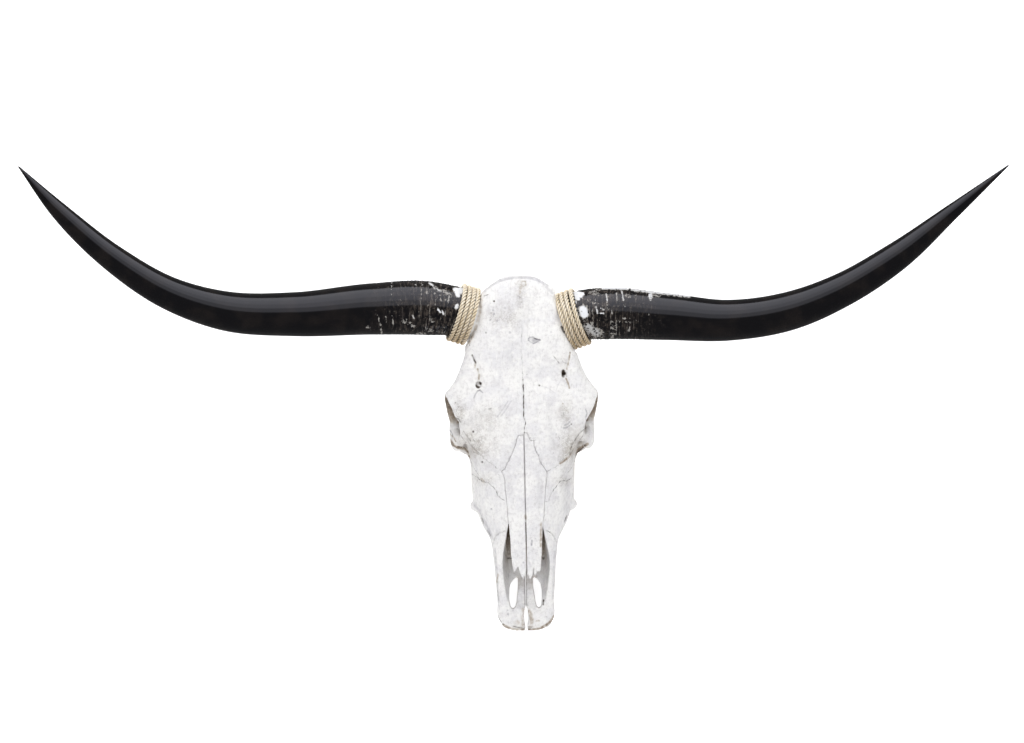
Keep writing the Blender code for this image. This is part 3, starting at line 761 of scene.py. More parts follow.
# view, half width, depth, wander, darkness, points
sutures = rowsOf(
    """
front 0.6 0.3 1.2 0.25  4.4 499.6  1.2 479.3  1.5 459.1  2.3 440.6;
front 0.55 0.4 0.5 0.5  2.3 440.6  1.6 408.8  1.8 391.8  2.4 366.6;
front 0.9 1 0.3 1  2.4 366.6  2.9 341.4  2.5 322.3  2.2 312.1;
front 0.65 0.8 0.6 0.8  2.2 312.1  4.9 302.5  3.4 296.7  2.6 288.5;
front 0.5 0.5 1.3 0.5  -31.1 232.2  -41 240.3  -50.1 247.3  -65.8 259.3  -77.6 262.9  -84.9 271.6;
front 0.5 0.5 1.3 0.5  35.3 229.4  42.1 235.2  49.8 238.7  56.7 246.7  70.5 258.1  80.7 262.9
    90.8 269.4;
front 0.6 0.6 1 0.7  -26.1 188.7  -32.8 192.2  -38.5 199.1  -40.9 205.9  -46.6 211  -53.2 216.7
    -59.9 218  -66.6 222.4  -76 228;
front 0.6 0.6 1 0.7  31 187  34.3 186.5  40.6 198.3  47.5 207.4  57 216.7  65.3 215.9  74 222;
sides 0.6 0.5 1.4 0.6  228 -38  236 -58  247 -76  240 -92  226 -101;
sides 0.5 0.4 1 0.5  247 -76  260 -72  271 -66;
sides 0.5 0.5 1.2 0.6  330 -48  341 -52  354 -49;
sides 0.6 0.6 0.8 0.7  345 -92  356 -101  372 -110;
sides 0.5 0.5 1.6 0.6  368 -84  382 -68  404 -60  426 -66  440 -84;
back 0.5 0.5 1.6 0.5  -62 -112  -40 -104  -18 -100  0 -103  18 -100  40 -104  62 -112
""",
    5,
)
# view, radius, depth, darkness, place
holes = rowsOf(
    """
front 3.8 2.6 0.1  -62.3 360.3;
front 2.8 6 1  62.8 374.5;
front 1.4 1.2 0.8  26.3 357.7;
front 1.3 0.8 0.4  8.5 374.1;
front 1.5 1.2 0.7  -37.4 482.6;
front 1.6 0.9 0.5  -50.3 436.7;
front 1.3 0.8 0.4  -42.2 465.4;
front 1.1 0.8 0.35  -38.6 461.1;
front 1.2 0.8 0.35  -42.6 456;
front 1.6 1.5 0.7  -60 247;
front 1.8 1.5 0.7  -72 292;
front 1.4 1.2 0.6  72 300;
sides 5 8 1  158 -74;
sides 4.6 8 1  424 -104;
back 1.6 1.4 0.6  -8 -60;
back 1.3 1.4 0.6  11 -66
""",
    4,
)
# marks of the face in the x, y view: what it is, half width, strength, points. Some dirt and stain marks are
# painted shadow, where rope meets bone and under the lower edge of the muzzle; the shade marks are grey marks
# and painted shade in hollows, along edges and round the outline of the poll
marks = rowsOf(
    """
dirt 1.8 1  -60 362.5  -61.1 363.4  -62.4 363.7  -63.7 363.4  -64.8 362.5  -65.4 361.3  -65.5 359.8
    -64.9 358.5  -64 357.5  -62.7 357.1;
shade 0.9 0.6  -60.8 357.4  -59.7 358.4  -59.2 359.8  -59.2 361.3  -59.9 362.6;
shade 2.6 0.5  14.8 424.3  25.1 423.5;
dirt 0.7 0.55  12.9 424.4  18.6 427.8  28.2 424.6;
dirt 2.2 1  61.7 442.7  65 436;
stain 0.9 0.45  1.9 507  4.2 511.3  9.3 510.5  10 505.3  5.5 503.2  1.9 507;
stain 1.8 0.3  2.6 502.6  0.9 493.8;
dirt 1.3 0.85  -37.4 482.6;
dirt 0.8 0.5  -51.9 490.6  -46 492.7;
dirt 1.2 0.6  -50.1 436.3;
dirt 1.2 0.5  8.5 374.1;
dirt 1.2 0.65  26.3 357.7;
shade 1.5 0.5  -15 436.3;
shade 1.4 0.6  -37.8 463.9;
shade 1.3 0.5  -39.1 469.7;
shade 1.3 0.5  -43.9 455.2;
shade 1.3 0.45  -33.6 453.5;
shade 1.3 0.4  -21.5 472.3;
shade 1.3 0.5  -0.7 488;
shade 1.3 0.5  45.1 435.7;
shade 1 1  12.4 426.7  14.2 428.2  16.5 428.1  18.6 428.7  20.9 426.8  23.5 425.3  28.7 424.3;
shade 0.8 0.8  11.5 424.7  14.8 421.8  19.1 419.3  23.6 421.2  26.5 423.5;
shade 0.7 0.5  15.6 425.5  20.7 423.3;
dirt 1.2 0.75  -71 404.2  -68.6 397.1  -65.7 392.7;
stain 1.5 0.45  -66.4 392.7  -67.6 386.1;
stain 1.3 0.5  -63.7 383.8  -61.7 376.5  -62.1 369.1;
dirt 0.8 0.5  47.3 401.2  51.6 396  55.9 390;
dirt 0.7 0.35  59.7 398  61.7 391.4  66.8 389.1;
stain 1.1 0.6  72.3 405.1  71.4 398.5  69 388.3  67.4 381;
dirt 2 1  61.9 378.2  61.6 370.6;
dirt 1.1 0.6  65.1 375.2  66.4 370.8;
stain 1.2 0.65  65.6 367.1  68.4 360.5  70.2 353.1;
shade 0.6 0.4  -36.7 312.9  -27.6 324.4  -20 336;
shade 0.6 0.4  -31.5 312.8  -23.2 323.6  -15.6 335.9;
shade 0.7 0.2  28.8 356.9  39 353.8  49 346.2;
shade 0.7 0.2  58.2 365.1  53.7 357.9  50.6 349.1;
stain 2.2 0.45  1.8 165.7  2.1 163.1;
shade 1.1 0.8  10.6 129.5  10.1 123.6;
shade 1.3 0.5  -2.4 97.8;
stain 0.9 0.5  -40.4 80  -42.6 66.7;
dirt 0.8 0.35  -42 55.3  -40.6 37.4;
dirt 1.2 0.6  -41.9 14.2  -39 8.9  -33.9 3.9;
stain 2 0.6  -34 3  -27.4 -0.7  -21.5 -2.9  -12.6 -4.3  -2.2 -4.4;
dirt 0.8 0.6  -22.8 2.3  -14 -0.7  -6.6 -1.7;
stain 1.8 0.75  3 -4.6  11.2 -4.7  20.2 -3.2  29.2 1.6  36.7 7.9  40.6 14.5;
stain 2.6 0.4  -4.2 26.3  -3.6 20.3  -5.1 12.9  -4.6 2.5;
stain 3 0.5  4.6 23.1  7.2 15.6  8.2 8.2  6.5 0.8;
stain 3.5 0.35  -15.3 7.2  -12.3 6.4;
stain 1.4 0.4  14.4 8.1  18.9 8.7;
shade 1.2 0.6  -27.5 25.6;
shade 1.2 0.6  -26.9 19.6;
shade 1.1 0.4  -19.4 24.6;
dirt 1.1 0.8  26.3 39.2  25.6 32.6;
stain 2 0.9  -107.4 279.7  -103.5 273.5  -99.1 269.9  -93.2 267.7  -86.5 265.7;
dirt 1.2 0.5  -99.8 270.8  -93.1 269.1  -86.6 268.1;
stain 1.5 0.8  -87.1 266.8  -81.3 260.7  -78.5 252.4;
dirt 1 0.5  -86.1 292.8  -83.1 288.6  -79.9 283.8  -76.3 278.6;
dirt 0.9 0.4  -91 286.4  -86 278.9  -81.7 272.1  -75.1 265.2  -67.8 259.9;
dirt 0.9 0.4  -80.7 278.2  -74.9 271.4  -69.1 264.6  -64 260;
dirt 0.8 0.35  -75.3 288.5  -71.7 280.2  -66 272  -63.9 263.8;
stain 1 0.5  -107.5 288  -101.7 283.5  -98.8 277.4;
shade 0.8 0.6  -108.2 293.9  -103.9 288.6  -102.5 283.4;
dirt 1 0.45  -98 313.1  -92.9 310.8  -90 306.3;
dirt 1.2 0.5  -97.2 335.4;
dirt 1.1 0.4  -93.6 329.4;
dirt 1.1 0.35  -96 322.9;
dirt 1.4 0.45  -48.1 324.9  -45.2 325.5;
dirt 1 0.5  94.4 293.7  85.6 287.2  78.8 279.2  73.4 271.2  70.2 262.4;
dirt 0.9 0.4  90.2 291.6  91.2 285.6  86.9 278.3  80.8 271  74.7 262.3  67.1 253.5;
stain 2 0.8  96.1 269.5  90 265.2  83.2 260.8  79.4 255.7;
dirt 1.7 0.8  92.4 267;
dirt 1.1 0.8  90 263.2  85.5 260  82 256.5;
dirt 1 0.7  81.3 255.7  79.8 249.8;
stain 1.2 0.4  79 248.6  77.2 233.7  76 223.4;
stain 1.5 0.7  74.3 258.3  65.2 249.6  54.7 242.5;
dirt 1 0.35  49.6 286.3  48.8 281.2;
dirt 1 0.45  53.2 281.8  54.2 278.9;
dirt 1.1 0.4  61 315.8  61.6 310.7;
shade 0.9 0.6  62.1 298.9  66.5 300.3  69.5 303.1;
shade 0.9 0.6  60.5 294.5  65 295.2  69.4 298;
shade 0.8 0.5  93.4 321.7  95.5 315.8  93.1 308.5  94.5 304.1;
stain 1.2 0.5  60 330.5;
dirt 1 0.35  44.9 258.4;
stain 2.2 0.4  -61.1 220.7  -59 217.7;
shade 1.2 0.7  -47.9 177.1;
shade 1.2 0.4  -55.2 144.4  -52.4 139.9;
dirt 0.9 0.5  -57.6 147.5  -54 143  -50.4 136.9;
shade 5.5 0.13  -91.1 300.9  -55.6 319.2;
shade 4.5 0.13  -45.8 297;
shade 5.5 0.11  41.4 330.3  41.7 276.1;
shade 4.5 0.12  -16.9 412.1  -14.5 390.1;
shade 4.5 0.1  22.9 424.5;
shade 5 0.09  16.8 483.2  2.9 451.3;
shade 4 0.13  -20.3 223.2  -20.7 201.2;
shade 4 0.13  24.1 209  22.1 181.2;
shade 5.5 0.16  61.3 233.1  62.9 174.5;
stain 1.6 0.45  24.5 156.3  23.7 121.1;
shade 0.9 0.6  -69.7 341.5  -67.4 347.3  -64.4 351.3  -60.7 352.5  -57.1 349.2;
dirt 0.8 0.4  -64.4 352.2  -60.7 353.1;
shade 1.5 0.42  -54 496.4  -50.2 501.5  -43.5 506.5  -36.8 510.7  -27.9 514.2;
shade 1.8 0.3  39.2 503.2  43.5 498  48.5 492.8;
shade 1.7 0.36  -73.2 180.3  -65.3 172.8  -61.8 164  -58.3 156.6  -54.1 148.4  -50.6 140.3  -47.8 132.9;
shade 1.3 0.3  -44.2 118.2  -43.1 102  -41.7 78.6  -41.2 55.1  -40 40.4;
shade 1.3 0.26  44.5 111.9  42.3 88.5  41.3 65.1  39.6 41.6;
stain 2.2 0.42  -56.1 484.8  -58.7 467.2  -63 449.7  -70 432.3  -76.1 422.2;
dirt 1.2 0.4  -66.9 439.6  -72.3 429.4  -77.6 420.8;
shade 1.8 0.45  -28 512.6  -19.1 515  -10.3 516.3  -0 516.8  10.2 516.6  20.4 515.1  27.7 512.3
    34.9 508  40.7 503.8;
shade 1.5 0.35  -51 497.8  -44.3 503.6  -36.9 508.5  -28 512.3
""",
    3,
)
# rough, pitted places of the face in the x, y view: x, y, reach in x, reach in y, strength
pitted = [
    (-70, 272, 26, 22, 0.55), (72, 265, 20, 26, 0.6), (-91, 321, 8, 18, 0.6), (64, 314, 9, 20, 0.55),
    (-25, 458, 24, 18, 0.35), (2, 491, 8, 22, 0.4), (-54, 305, 25, 22, 0.3), (-61, 221, 16, 8, 0.4),
    (61, 216, 14, 8, 0.5),
]
# stained places, in the same way; the one at the lower edge of the muzzle is painted shade
stainedAndShadedPlaces = [
    (-80, 284, 13, 26, 0.2), (80, 280, 13, 26, 0.22), (-72, 262, 22, 12, 0.25), (76, 262, 22, 12, 0.3),
    (4, 504, 9, 14, 0.1), (-62, 372, 8, 26, 0.18), (62, 384, 12, 26, 0.18), (0, 0, 34, 5, 0.25),
]
# how each view sees the skull: its flat axes, the axis it looks along, and from which end
viewAxes = {"front": (0, 1, 2, 1), "left": (1, 2, 0, -1), "right": (1, 2, 0, 1), "back": (0, 2, 1, 1)}


def wandering(line, wander, seed, step=0.8):
    # resamples the line and lets it squirm to and fro, as a suture does
    line = np.asarray(line, float)
    runs = np.concatenate([[0], np.cumsum(np.linalg.norm(np.diff(line, axis=0), axis=1))])
    stops = np.arange(0, runs[-1], step)
    points = track(runs, line, stops)
    ahead = np.gradient(points, axis=0)
    ahead /= np.maximum(np.linalg.norm(ahead, axis=1), 1e-6)[:, None]
    aside = np.stack([-ahead[:, 1], ahead[:, 0]], 1)
    for i, stop in enumerate(stops):
        shake = noise.noise(Vector((stop / 4.5, seed, 0))) + 0.6 * noise.noise(Vector((stop / 1.7, seed, 9)))
        points[i] += aside[i] * wander * shake * 1.3
    return points


def carvings():
    # view, line, half width, depth, darkness; sides stands for the left and the right view
    found = []
    for seen, width, depth, wander, dark, line in sutures:
        for name in sides if seen == "sides" else [seen]:
            found.append((name, wandering(line, wander, len(found) * 7.3), width, depth, dark))
    for seen, radius, depth, dark, place in holes:
        for name in sides if seen == "sides" else [seen]:
            found.append((name, oneLine(place), radius, depth, dark))
    return found


def facingShare(name, spots, normals):
    # 1 where the surface faces this view, and 0 on its far side
    across, sign = viewAxes[name][2:]
    if name == "front":
        return np.clip(normals[:, 2] * 3 + 0.1, 0, 1) * (spots[:, 2] > -99)
    share = np.clip(normals[:, across] * sign * 3 - 0.3, 0, 1)
    return share * (spots[:, 1] > 400) if name == "back" else share * (spots[:, 0] * sign > 8)


def refine(bm, lines, finest):
    # splits the edges near each line until they are fine enough
    reaches = [(name, line, width + 0.5, finest) for name, line, width, depth, dark in lines]
    for tone, width, strength, points in marks:
        reaches.append(("front", oneLine(points), width, max(finest, width)))
    for turn in range(4):
        edges = [edge for edge in bm.edges if edge.calc_length() > finest]
        middles = np.array([((edge.verts[0].co + edge.verts[1].co) / 2)[:] for edge in edges])
        halves = np.array([edge.calc_length() / 2 for edge in edges])
        normals = np.array([edge.verts[0].normal[:] for edge in edges])
        near = np.zeros(len(edges), bool)
        for name, line, reach, fine in reaches:
            close = (toLine(middles[:, viewAxes[name][:2]], line) < reach + halves) & (halves * 2 > fine)
            near |= close & (facingShare(name, middles, normals) > 0)
        chosen = [edge for edge, close in zip(edges, near) if close]
        if not chosen:
            break
        bmesh.ops.subdivide_edges(bm, edges=chosen, cuts=1)
        bmesh.ops.triangulate(bm, faces=[face for face in bm.faces if len(face.verts) > 3])
    bm.normal_update()


def carve(bm, lines):
    # sinks each line into the bone, and finds how strongly each point is painted with dirt and painted
    # shadow, with stain and painted shade, and with painted shade
    refine(bm, lines, skin["finest"])
    spots, normals = placesOf(bm), normalsOf(bm)
    patchy = np.array([0.75 + 0.9 * noise.noise(vert.co / 5.0) for vert in bm.verts])
    sink = np.zeros(len(spots))
    tones = {name: np.zeros(len(spots)) for name in ("dirt", "stain", "shade")}
    for name, line, width, depth, dark in lines:
        distance = toLine(spots[:, viewAxes[name][:2]], line)
        share = facingShare(name, spots, normals)
        sink = np.maximum(sink, share * depth * np.exp(-((distance / width) ** 2) * 1.4))
        if name == "front" and len(line) > 2:
            share = share * np.clip(patchy, 0.35, 1.1)
        tones["dirt"] = np.maximum(tones["dirt"], share * dark * np.clip(1.5 - distance / width, 0, 1))
    front = facingShare("front", spots, normals)
    for tone, width, strength, points in marks:
        distance = toLine(spots[:, :2], oneLine(points))
        share = front * strength * np.clip(1.6 - distance / width, 0, 1) * np.clip(patchy + 0.2, 0.4, 1.1)
        tones[tone] = np.maximum(tones[tone], share)
        if tone != "stain":
            sink = np.maximum(sink, front * 0.35 * strength * np.exp(-((distance / width) ** 2)))
    for vert, deep in zip(bm.verts, sink):
        if deep > 0.01:
            vert.co -= vert.normal * float(deep)
    return tones


# dirt, stain and painted shade in the recesses

# edge of the brow over each orbit, as x and y: the dark of the orbit shows beyond it
browEdges = {
    -1: [(-109.8, 343.0), (-106.4, 334.0), (-102.3, 326.0), (-97.8, 313.5), (-92.7, 306.8)],
    1: [(109.7, 338.3), (106.5, 327.4), (102.6, 317.2), (99.5, 308.5), (97.2, 304.2)],
}


def hollowStainAndShade(spots, normals):
    # brown in the orbits, in the open nose and on the palate between its openings: partly stain, partly
    # painted shade, as the dark beyond each brow edge and the darkening further up the nose trough
    found = np.zeros(len(spots))
    x, y, h = spots.T
    for side, edge in browEdges.items():
        centre = np.array((side * orbit["centre"][0], *orbit["centre"][1:]))
        local = (spots - centre) @ np.array(orbitTurn(side).to_3x3())
        out = side * local[:, 0]
        inside = (out < 5) & (out > -60) & (np.hypot(local[:, 1], local[:, 2]) < orbit["radius"] - 3)
        deep = np.clip((-3 - out) / 8, 0, 1)
        found = np.maximum(found, inside * deep * (side * x > 30) * 0.85)
        # painted shade: dark brown beyond the brow edge, where the hollow of the orbit lies in shade
        line = np.array(sorted((py, side * px) for px, py in edge))
        beyond = side * x - np.interp(y, line[:, 0], line[:, 1])
        wedge = (beyond > -1.5) & (h < -32) & (h > -93) & (normals[:, 2] > -0.1)
        fade = np.clip((y - 297) / 16, 0, 1) * np.clip((348 - y) / 5, 0, 1)
        found = np.maximum(found, wedge * fade * np.clip(0.75 + (y - 312) / 90, 0.6, 1.0))
    # painted shade: darker further up the nose trough, towards its deep end
    fromMiddle = np.abs(x - nose["middle"])
    deep = np.interp(y, [24, 54, 100, 150], [-63, -64, -56, -38])
    trough = (fromMiddle < 34) * np.clip((deep - h) / 6, 0, 1) * (h > -100) * (y < 245)
    found = np.maximum(found, trough * np.clip((y - 76) / 62, 0, 1) * 0.95)
    middle = (fromMiddle < 15) * (h > -82) * (h < -50)
    return np.maximum(found, middle * np.clip((y - 48) / 40, 0, 0.34) * (y < 160))


def shelter(bm, count=14, reach=60):
    # share of the sky that other bone hides from each point, by rays spread over a half sphere
    tree = BVHTree.FromBMesh(bm)
    golden = math.pi * (3 - math.sqrt(5))
    rays = []
    for i in range(count):
        height = math.sqrt(1 - (i + 0.5) / count)
        flat = math.sqrt(1 - height * height)
        rays.append(Vector((flat * math.cos(golden * i), flat * math.sin(golden * i), height)))
    hidden = np.zeros(len(bm.verts))
    for i, vert in enumerate(bm.verts):
        turn = vert.normal.to_track_quat("Z", "Y")
        start = vert.co + vert.normal * 0.8
        hidden[i] = sum(1 for ray in rays if tree.ray_cast(start, turn @ ray, reach)[0]) / count
    return hidden


def evened(bm, values, rounds=2):
    # averages the values with those of the neighbouring points
    ends = np.array([(edge.verts[0].index, edge.verts[1].index) for edge in bm.edges])
    for turn in range(rounds):
        total = values.copy()
        count = np.ones(len(values))
        np.add.at(total, ends[:, 0], values[ends[:, 1]])
        np.add.at(total, ends[:, 1], values[ends[:, 0]])
        np.add.at(count, ends.ravel(), 1)
        values = total / count
    return values


def spread(spots, x, y, reachX, reachY):
    return np.exp(-(((spots[:, 0] - x) / reachX) ** 2 + ((spots[:, 1] - y) / reachY) ** 2))


def boneTones(bm, tones):
    # how strong each kind of dirt, stain, wear and painted shade is at every point, for the bone's material
    spots, normals = placesOf(bm), normalsOf(bm)
    # painted shade: brown darkening where other bone hides much of the sky from a point
    stain = np.clip((evened(bm, shelter(bm)) - 0.30) / 0.5, 0, 1)
    x, y, h = spots.T
    lobe = (np.abs(x) > 81) * (y > 256) * (y < 303) * (h > -92)
    openNose = (np.abs(x) < 34) * (h > -100) * np.clip((165 - y) / 60, 0, 1)
    stain *= np.clip(1 - 0.8 * lobe - 0.75 * openNose, 0, 1)
    for *place, strength in stainedAndShadedPlaces:
        stain = np.maximum(stain, strength * spread(spots, *place))
    stain = np.maximum(stain, evened(bm, hollowStainAndShade(spots, normals), 3))
    stain = np.maximum(stain, tones["stain"])
    pits = np.zeros(len(spots))
    for *place, strength in pitted:
        facing = np.clip(normals[:, 2] * 3 + 0.4, 0, 1)
        pits = np.maximum(pits, strength * spread(spots, *place) * facing)
    floorDepth = -(lying["floorDepth"] + y * math.tan(tilt))
    enamel = np.clip((floorDepth + 25 - h) / 5, 0, 1) * (y < 300) * (y > 140)
    return {"creviceAndShadow": tones["dirt"], "stain": stain, "shade": tones["shade"], "pits": pits, "enamel": enamel}


def finishBone(made, surface, node, lines):
    bm = skullMesh(made)
    bmesh.ops.remove_doubles(bm, verts=bm.verts, dist=0.02)
    bmesh.ops.dissolve_degenerate(bm, dist=0.005, edges=bm.edges)
    bmesh.ops.triangulate(bm, faces=bm.faces)
    bm.normal_update()
    creased = [edge for edge in bm.edges if len(edge.link_faces) == 2 and edge.calc_face_angle() > 0.9]
    sharp = {vert for edge in creased for vert in edge.verts}
    axes = {"use_axis_x": True, "use_axis_y": True, "use_axis_z": True}
    for turn in range(2):
        bmesh.ops.smooth_vert(bm, verts=list(sharp), factor=0.35, **axes)
    bm.normal_update()
    tones = carve(bm, lines)
    bm.verts.index_update()
    bm.normal_update()
    for name, values in boneTones(bm, tones).items():
        layer = bm.verts.layers.float.new(name)
        for vert, value in zip(bm.verts, values):
            vert[layer] = float(value)
    finished = meshObject(f"{node}_visual", bm, helper=False)
    finished.data.validate()  # mends what Blender counts as invalid
    finished.data.materials.clear()
    finished.data.materials.append(surface)
    finished.data.shade_smooth()
    finished.data.set_sharp_from_angle(angle=math.radians(50))
    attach(finished, "root")
    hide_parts(node)
    print(node, "finished with", len(finished.data.polygons), "triangles")


def allCrowns(bm):
    for side in (-1, 1):
        toothRow(bm, side, teeth["crown"])


def floorBlock(bm):
    # a block under the floor, in metres
    block(bm, (-0.9, -0.9, -0.2), (0.9, 0.9, 0))
    bm.transform(roomToSkull)


def makeBones(surface):
    blank = skullBlank()
    print("skull skin has", len(blank.data.polygons), "triangles")
    below = nasals["thickness"] + nasals["gap"]
    deepSlab = helperOf("nasalSlabDeep", nasalSlab, 40, below, stops=30, strips=24)
    opening = grown(nasalOutline(1) + nasalOutline(-1)[::-1], nasals["gap"])
    recess = helperOf("nasalRecess", prism, opening, -80, 45)
    cut(recess, deepSlab, "INTERSECT")
    settled(recess)
    crowns = helperOf("crowns", allCrowns)
    cranium = helperOf("craniumBlock", block, (-150, 70, -260), (150, 560, 60))
    cut(cranium, blank, "INTERSECT")
    cut(cranium, crowns, "UNION")
    cut(cranium, recess)
    cut(cranium, sutureBlock("upperJawFront", hornBase["gap"] / 2))
    for side, edge in browEdges.items():
        outline = edge + [(edge[-1][0], 298.0), (side * 130.0, 298.0), (side * 130.0, edge[0][1])]
        cut(cranium, helperOf(f"browEdge{side}", prism, outline, -40, 40))
    for sideName in sides:
        cut(cranium, helperOf(f"ropeSeat_{sideName}", ropeSeat, sideName))
    cut(cranium, helperOf("floorCut", floorBlock))
    settled(cranium)
    print("cranium parted")
    lines = carvings()
    finishBone(cranium, surface, "cranium", lines)
    front = sutureBlock("incisiveRear", -hornBase["gap"] / 2)
    for sideName, side in sides.items():
        node = f"incisive_{sideName}"
        outline = sideOf(nose["cleft"] + [(90, 150), (90, -12)], side)
        bone = helperOf(f"{node}_block", prism, outline, -140, 60)
        cut(bone, blank, "INTERSECT")
        cut(bone, front, "INTERSECT")
        cut(bone, recess)
        finishBone(settled(bone), surface, node, lines)
    for sideName, side in sides.items():
        node = f"nasal_{sideName}"
        slab = helperOf(f"{node}_slab", nasalSlab, 0, nasals["thickness"], stops=140, strips=64)
        cut(slab, helperOf(f"{node}_outline", prism, nasalOutline(side), -70, 30), "INTERSECT")
        finishBone(settled(slab), surface, node, lines)


# node trees for the horns and the ropes


def newTree(name, inputs):
    tree = bpy.data.node_groups.new(name, "GeometryNodeTree")
    kinds = {"Path": "NodeSocketGeometry", **inputs}
    for label, kind in kinds.items():
        tree.interface.new_socket(label, in_out="INPUT", socket_type=kind)
    tree.interface.new_socket("Geometry", in_out="OUTPUT", socket_type="NodeSocketGeometry")
    return tree, addNode(tree, "NodeGroupInput").outputs


def runTree(made, tree, values):
    step = made.modifiers.new(tree.name, "NODES")
    step.node_group = tree
    names = {item.name: item.identifier for item in tree.interface.items_tree if item.in_out == "INPUT"}
    for label in names.keys() & values.keys():
        step[names[label]] = values[label]
    return settled(made)


def chainObject(name, points, floats):
    # a run of joined points in metres, with one number of each kind at every point
    mesh = bpy.data.meshes.new(name)
    mesh.from_pydata([tuple(point) for point in points], [(i, i + 1) for i in range(len(points) - 1)], [])
    for label, values in floats.items():
        storeValues(mesh, label, values)
    return placed(name, mesh)


def numberAt(tree, name):
    found = addNode(tree, "GeometryNodeInputNamedAttribute", {"Name": name}, data_type="FLOAT")
    return found.outputs["Attribute"]


def unitCircle(tree, points):
    feeds = {"Resolution": points, "Radius": 1.0}
    return addNode(tree, "GeometryNodeCurvePrimitiveCircle", feeds).outputs[0]


def captured(tree, shape, values):
    keep = addNode(tree, "GeometryNodeCaptureAttribute")
    for name in values:
        keep.capture_items.new("FLOAT", name)
    feed(tree, keep, {"Geometry": shape, **values})
    return keep.outputs


def swept(tree, given, profile, twist=None):
    # the path as a curve with its own numbers, and the profile swept along it
    curve = addNode(tree, "GeometryNodeMeshToCurve", {"Mesh": given["Path"]}).outputs[0]
    path = addNode(tree, "GeometryNodeResampleCurve", {"Curve": curve, "Count": given["Rings"]}).outputs[0]
    if twist is not None:
        path = addNode(tree, "GeometryNodeSetCurveTilt", {"Curve": path, "Tilt": twist}).outputs[0]
    feeds = {"Curve": path, "Profile Curve": profile, "Scale": numberAt(tree, "thickness"), "Fill Caps": True}
    return addNode(tree, "GeometryNodeCurveToMesh", feeds).outputs[0]


def tubePlace(tree, along, angle):
    # where a point lies on a tube: along it, and round it as a cosine and a sine
    feeds = {"X": along, "Y": calc(tree, "COSINE", angle), "Z": calc(tree, "SINE", angle)}
    return addNode(tree, "ShaderNodeCombineXYZ", feeds).outputs[0]


def stored(tree, body, label, value, kind):
    feeds = {"Geometry": body, "Name": label, "Value": value}
    return addNode(tree, "GeometryNodeStoreNamedAttribute", feeds, data_type=kind, domain="POINT").outputs[0]


def closeTree(tree, shape, surface):
    real = addNode(tree, "GeometryNodeRealizeInstances", {"Geometry": shape}).outputs[0]
    dressed = addNode(tree, "GeometryNodeSetMaterial", {"Geometry": real, "Material": surface}).outputs[0]
    addNode(tree, "NodeGroupOutput", {"Geometry": dressed})
    return tree


# horns

hornSizes = {
    "paths": {  # x, y, h, radius beyond the lashing
        "left": [
            (-135, 475, -31, 39.8), (-215, 475.5, -22, 38), (-330, 470, -9, 32.5), (-430, 476.5, 5, 29),
            (-510, 503.5, 17, 24.3), (-590, 556, 30, 19.8), (-665, 625.5, 43, 13.0), (-722.6, 692, 52.7, 0.9),
        ],
        "right": [
            (128, 461.5, -32, 38.1), (215, 455, -22, 34.7), (305, 447.5, -12, 30.2), (395, 459, 0, 28.4),
            (472, 488, 11, 25), (550, 534, 24, 21.3), (632, 598, 37.5, 11.4), (713.5, 663, 51, 0.9),
        ],
    },
    "Rings": 800,
    "Sides": 96,
    "Ridge depth": 0.00035,
    "Ridge spacing": 0.0065,
    "Ridge reach": 0.16,
}
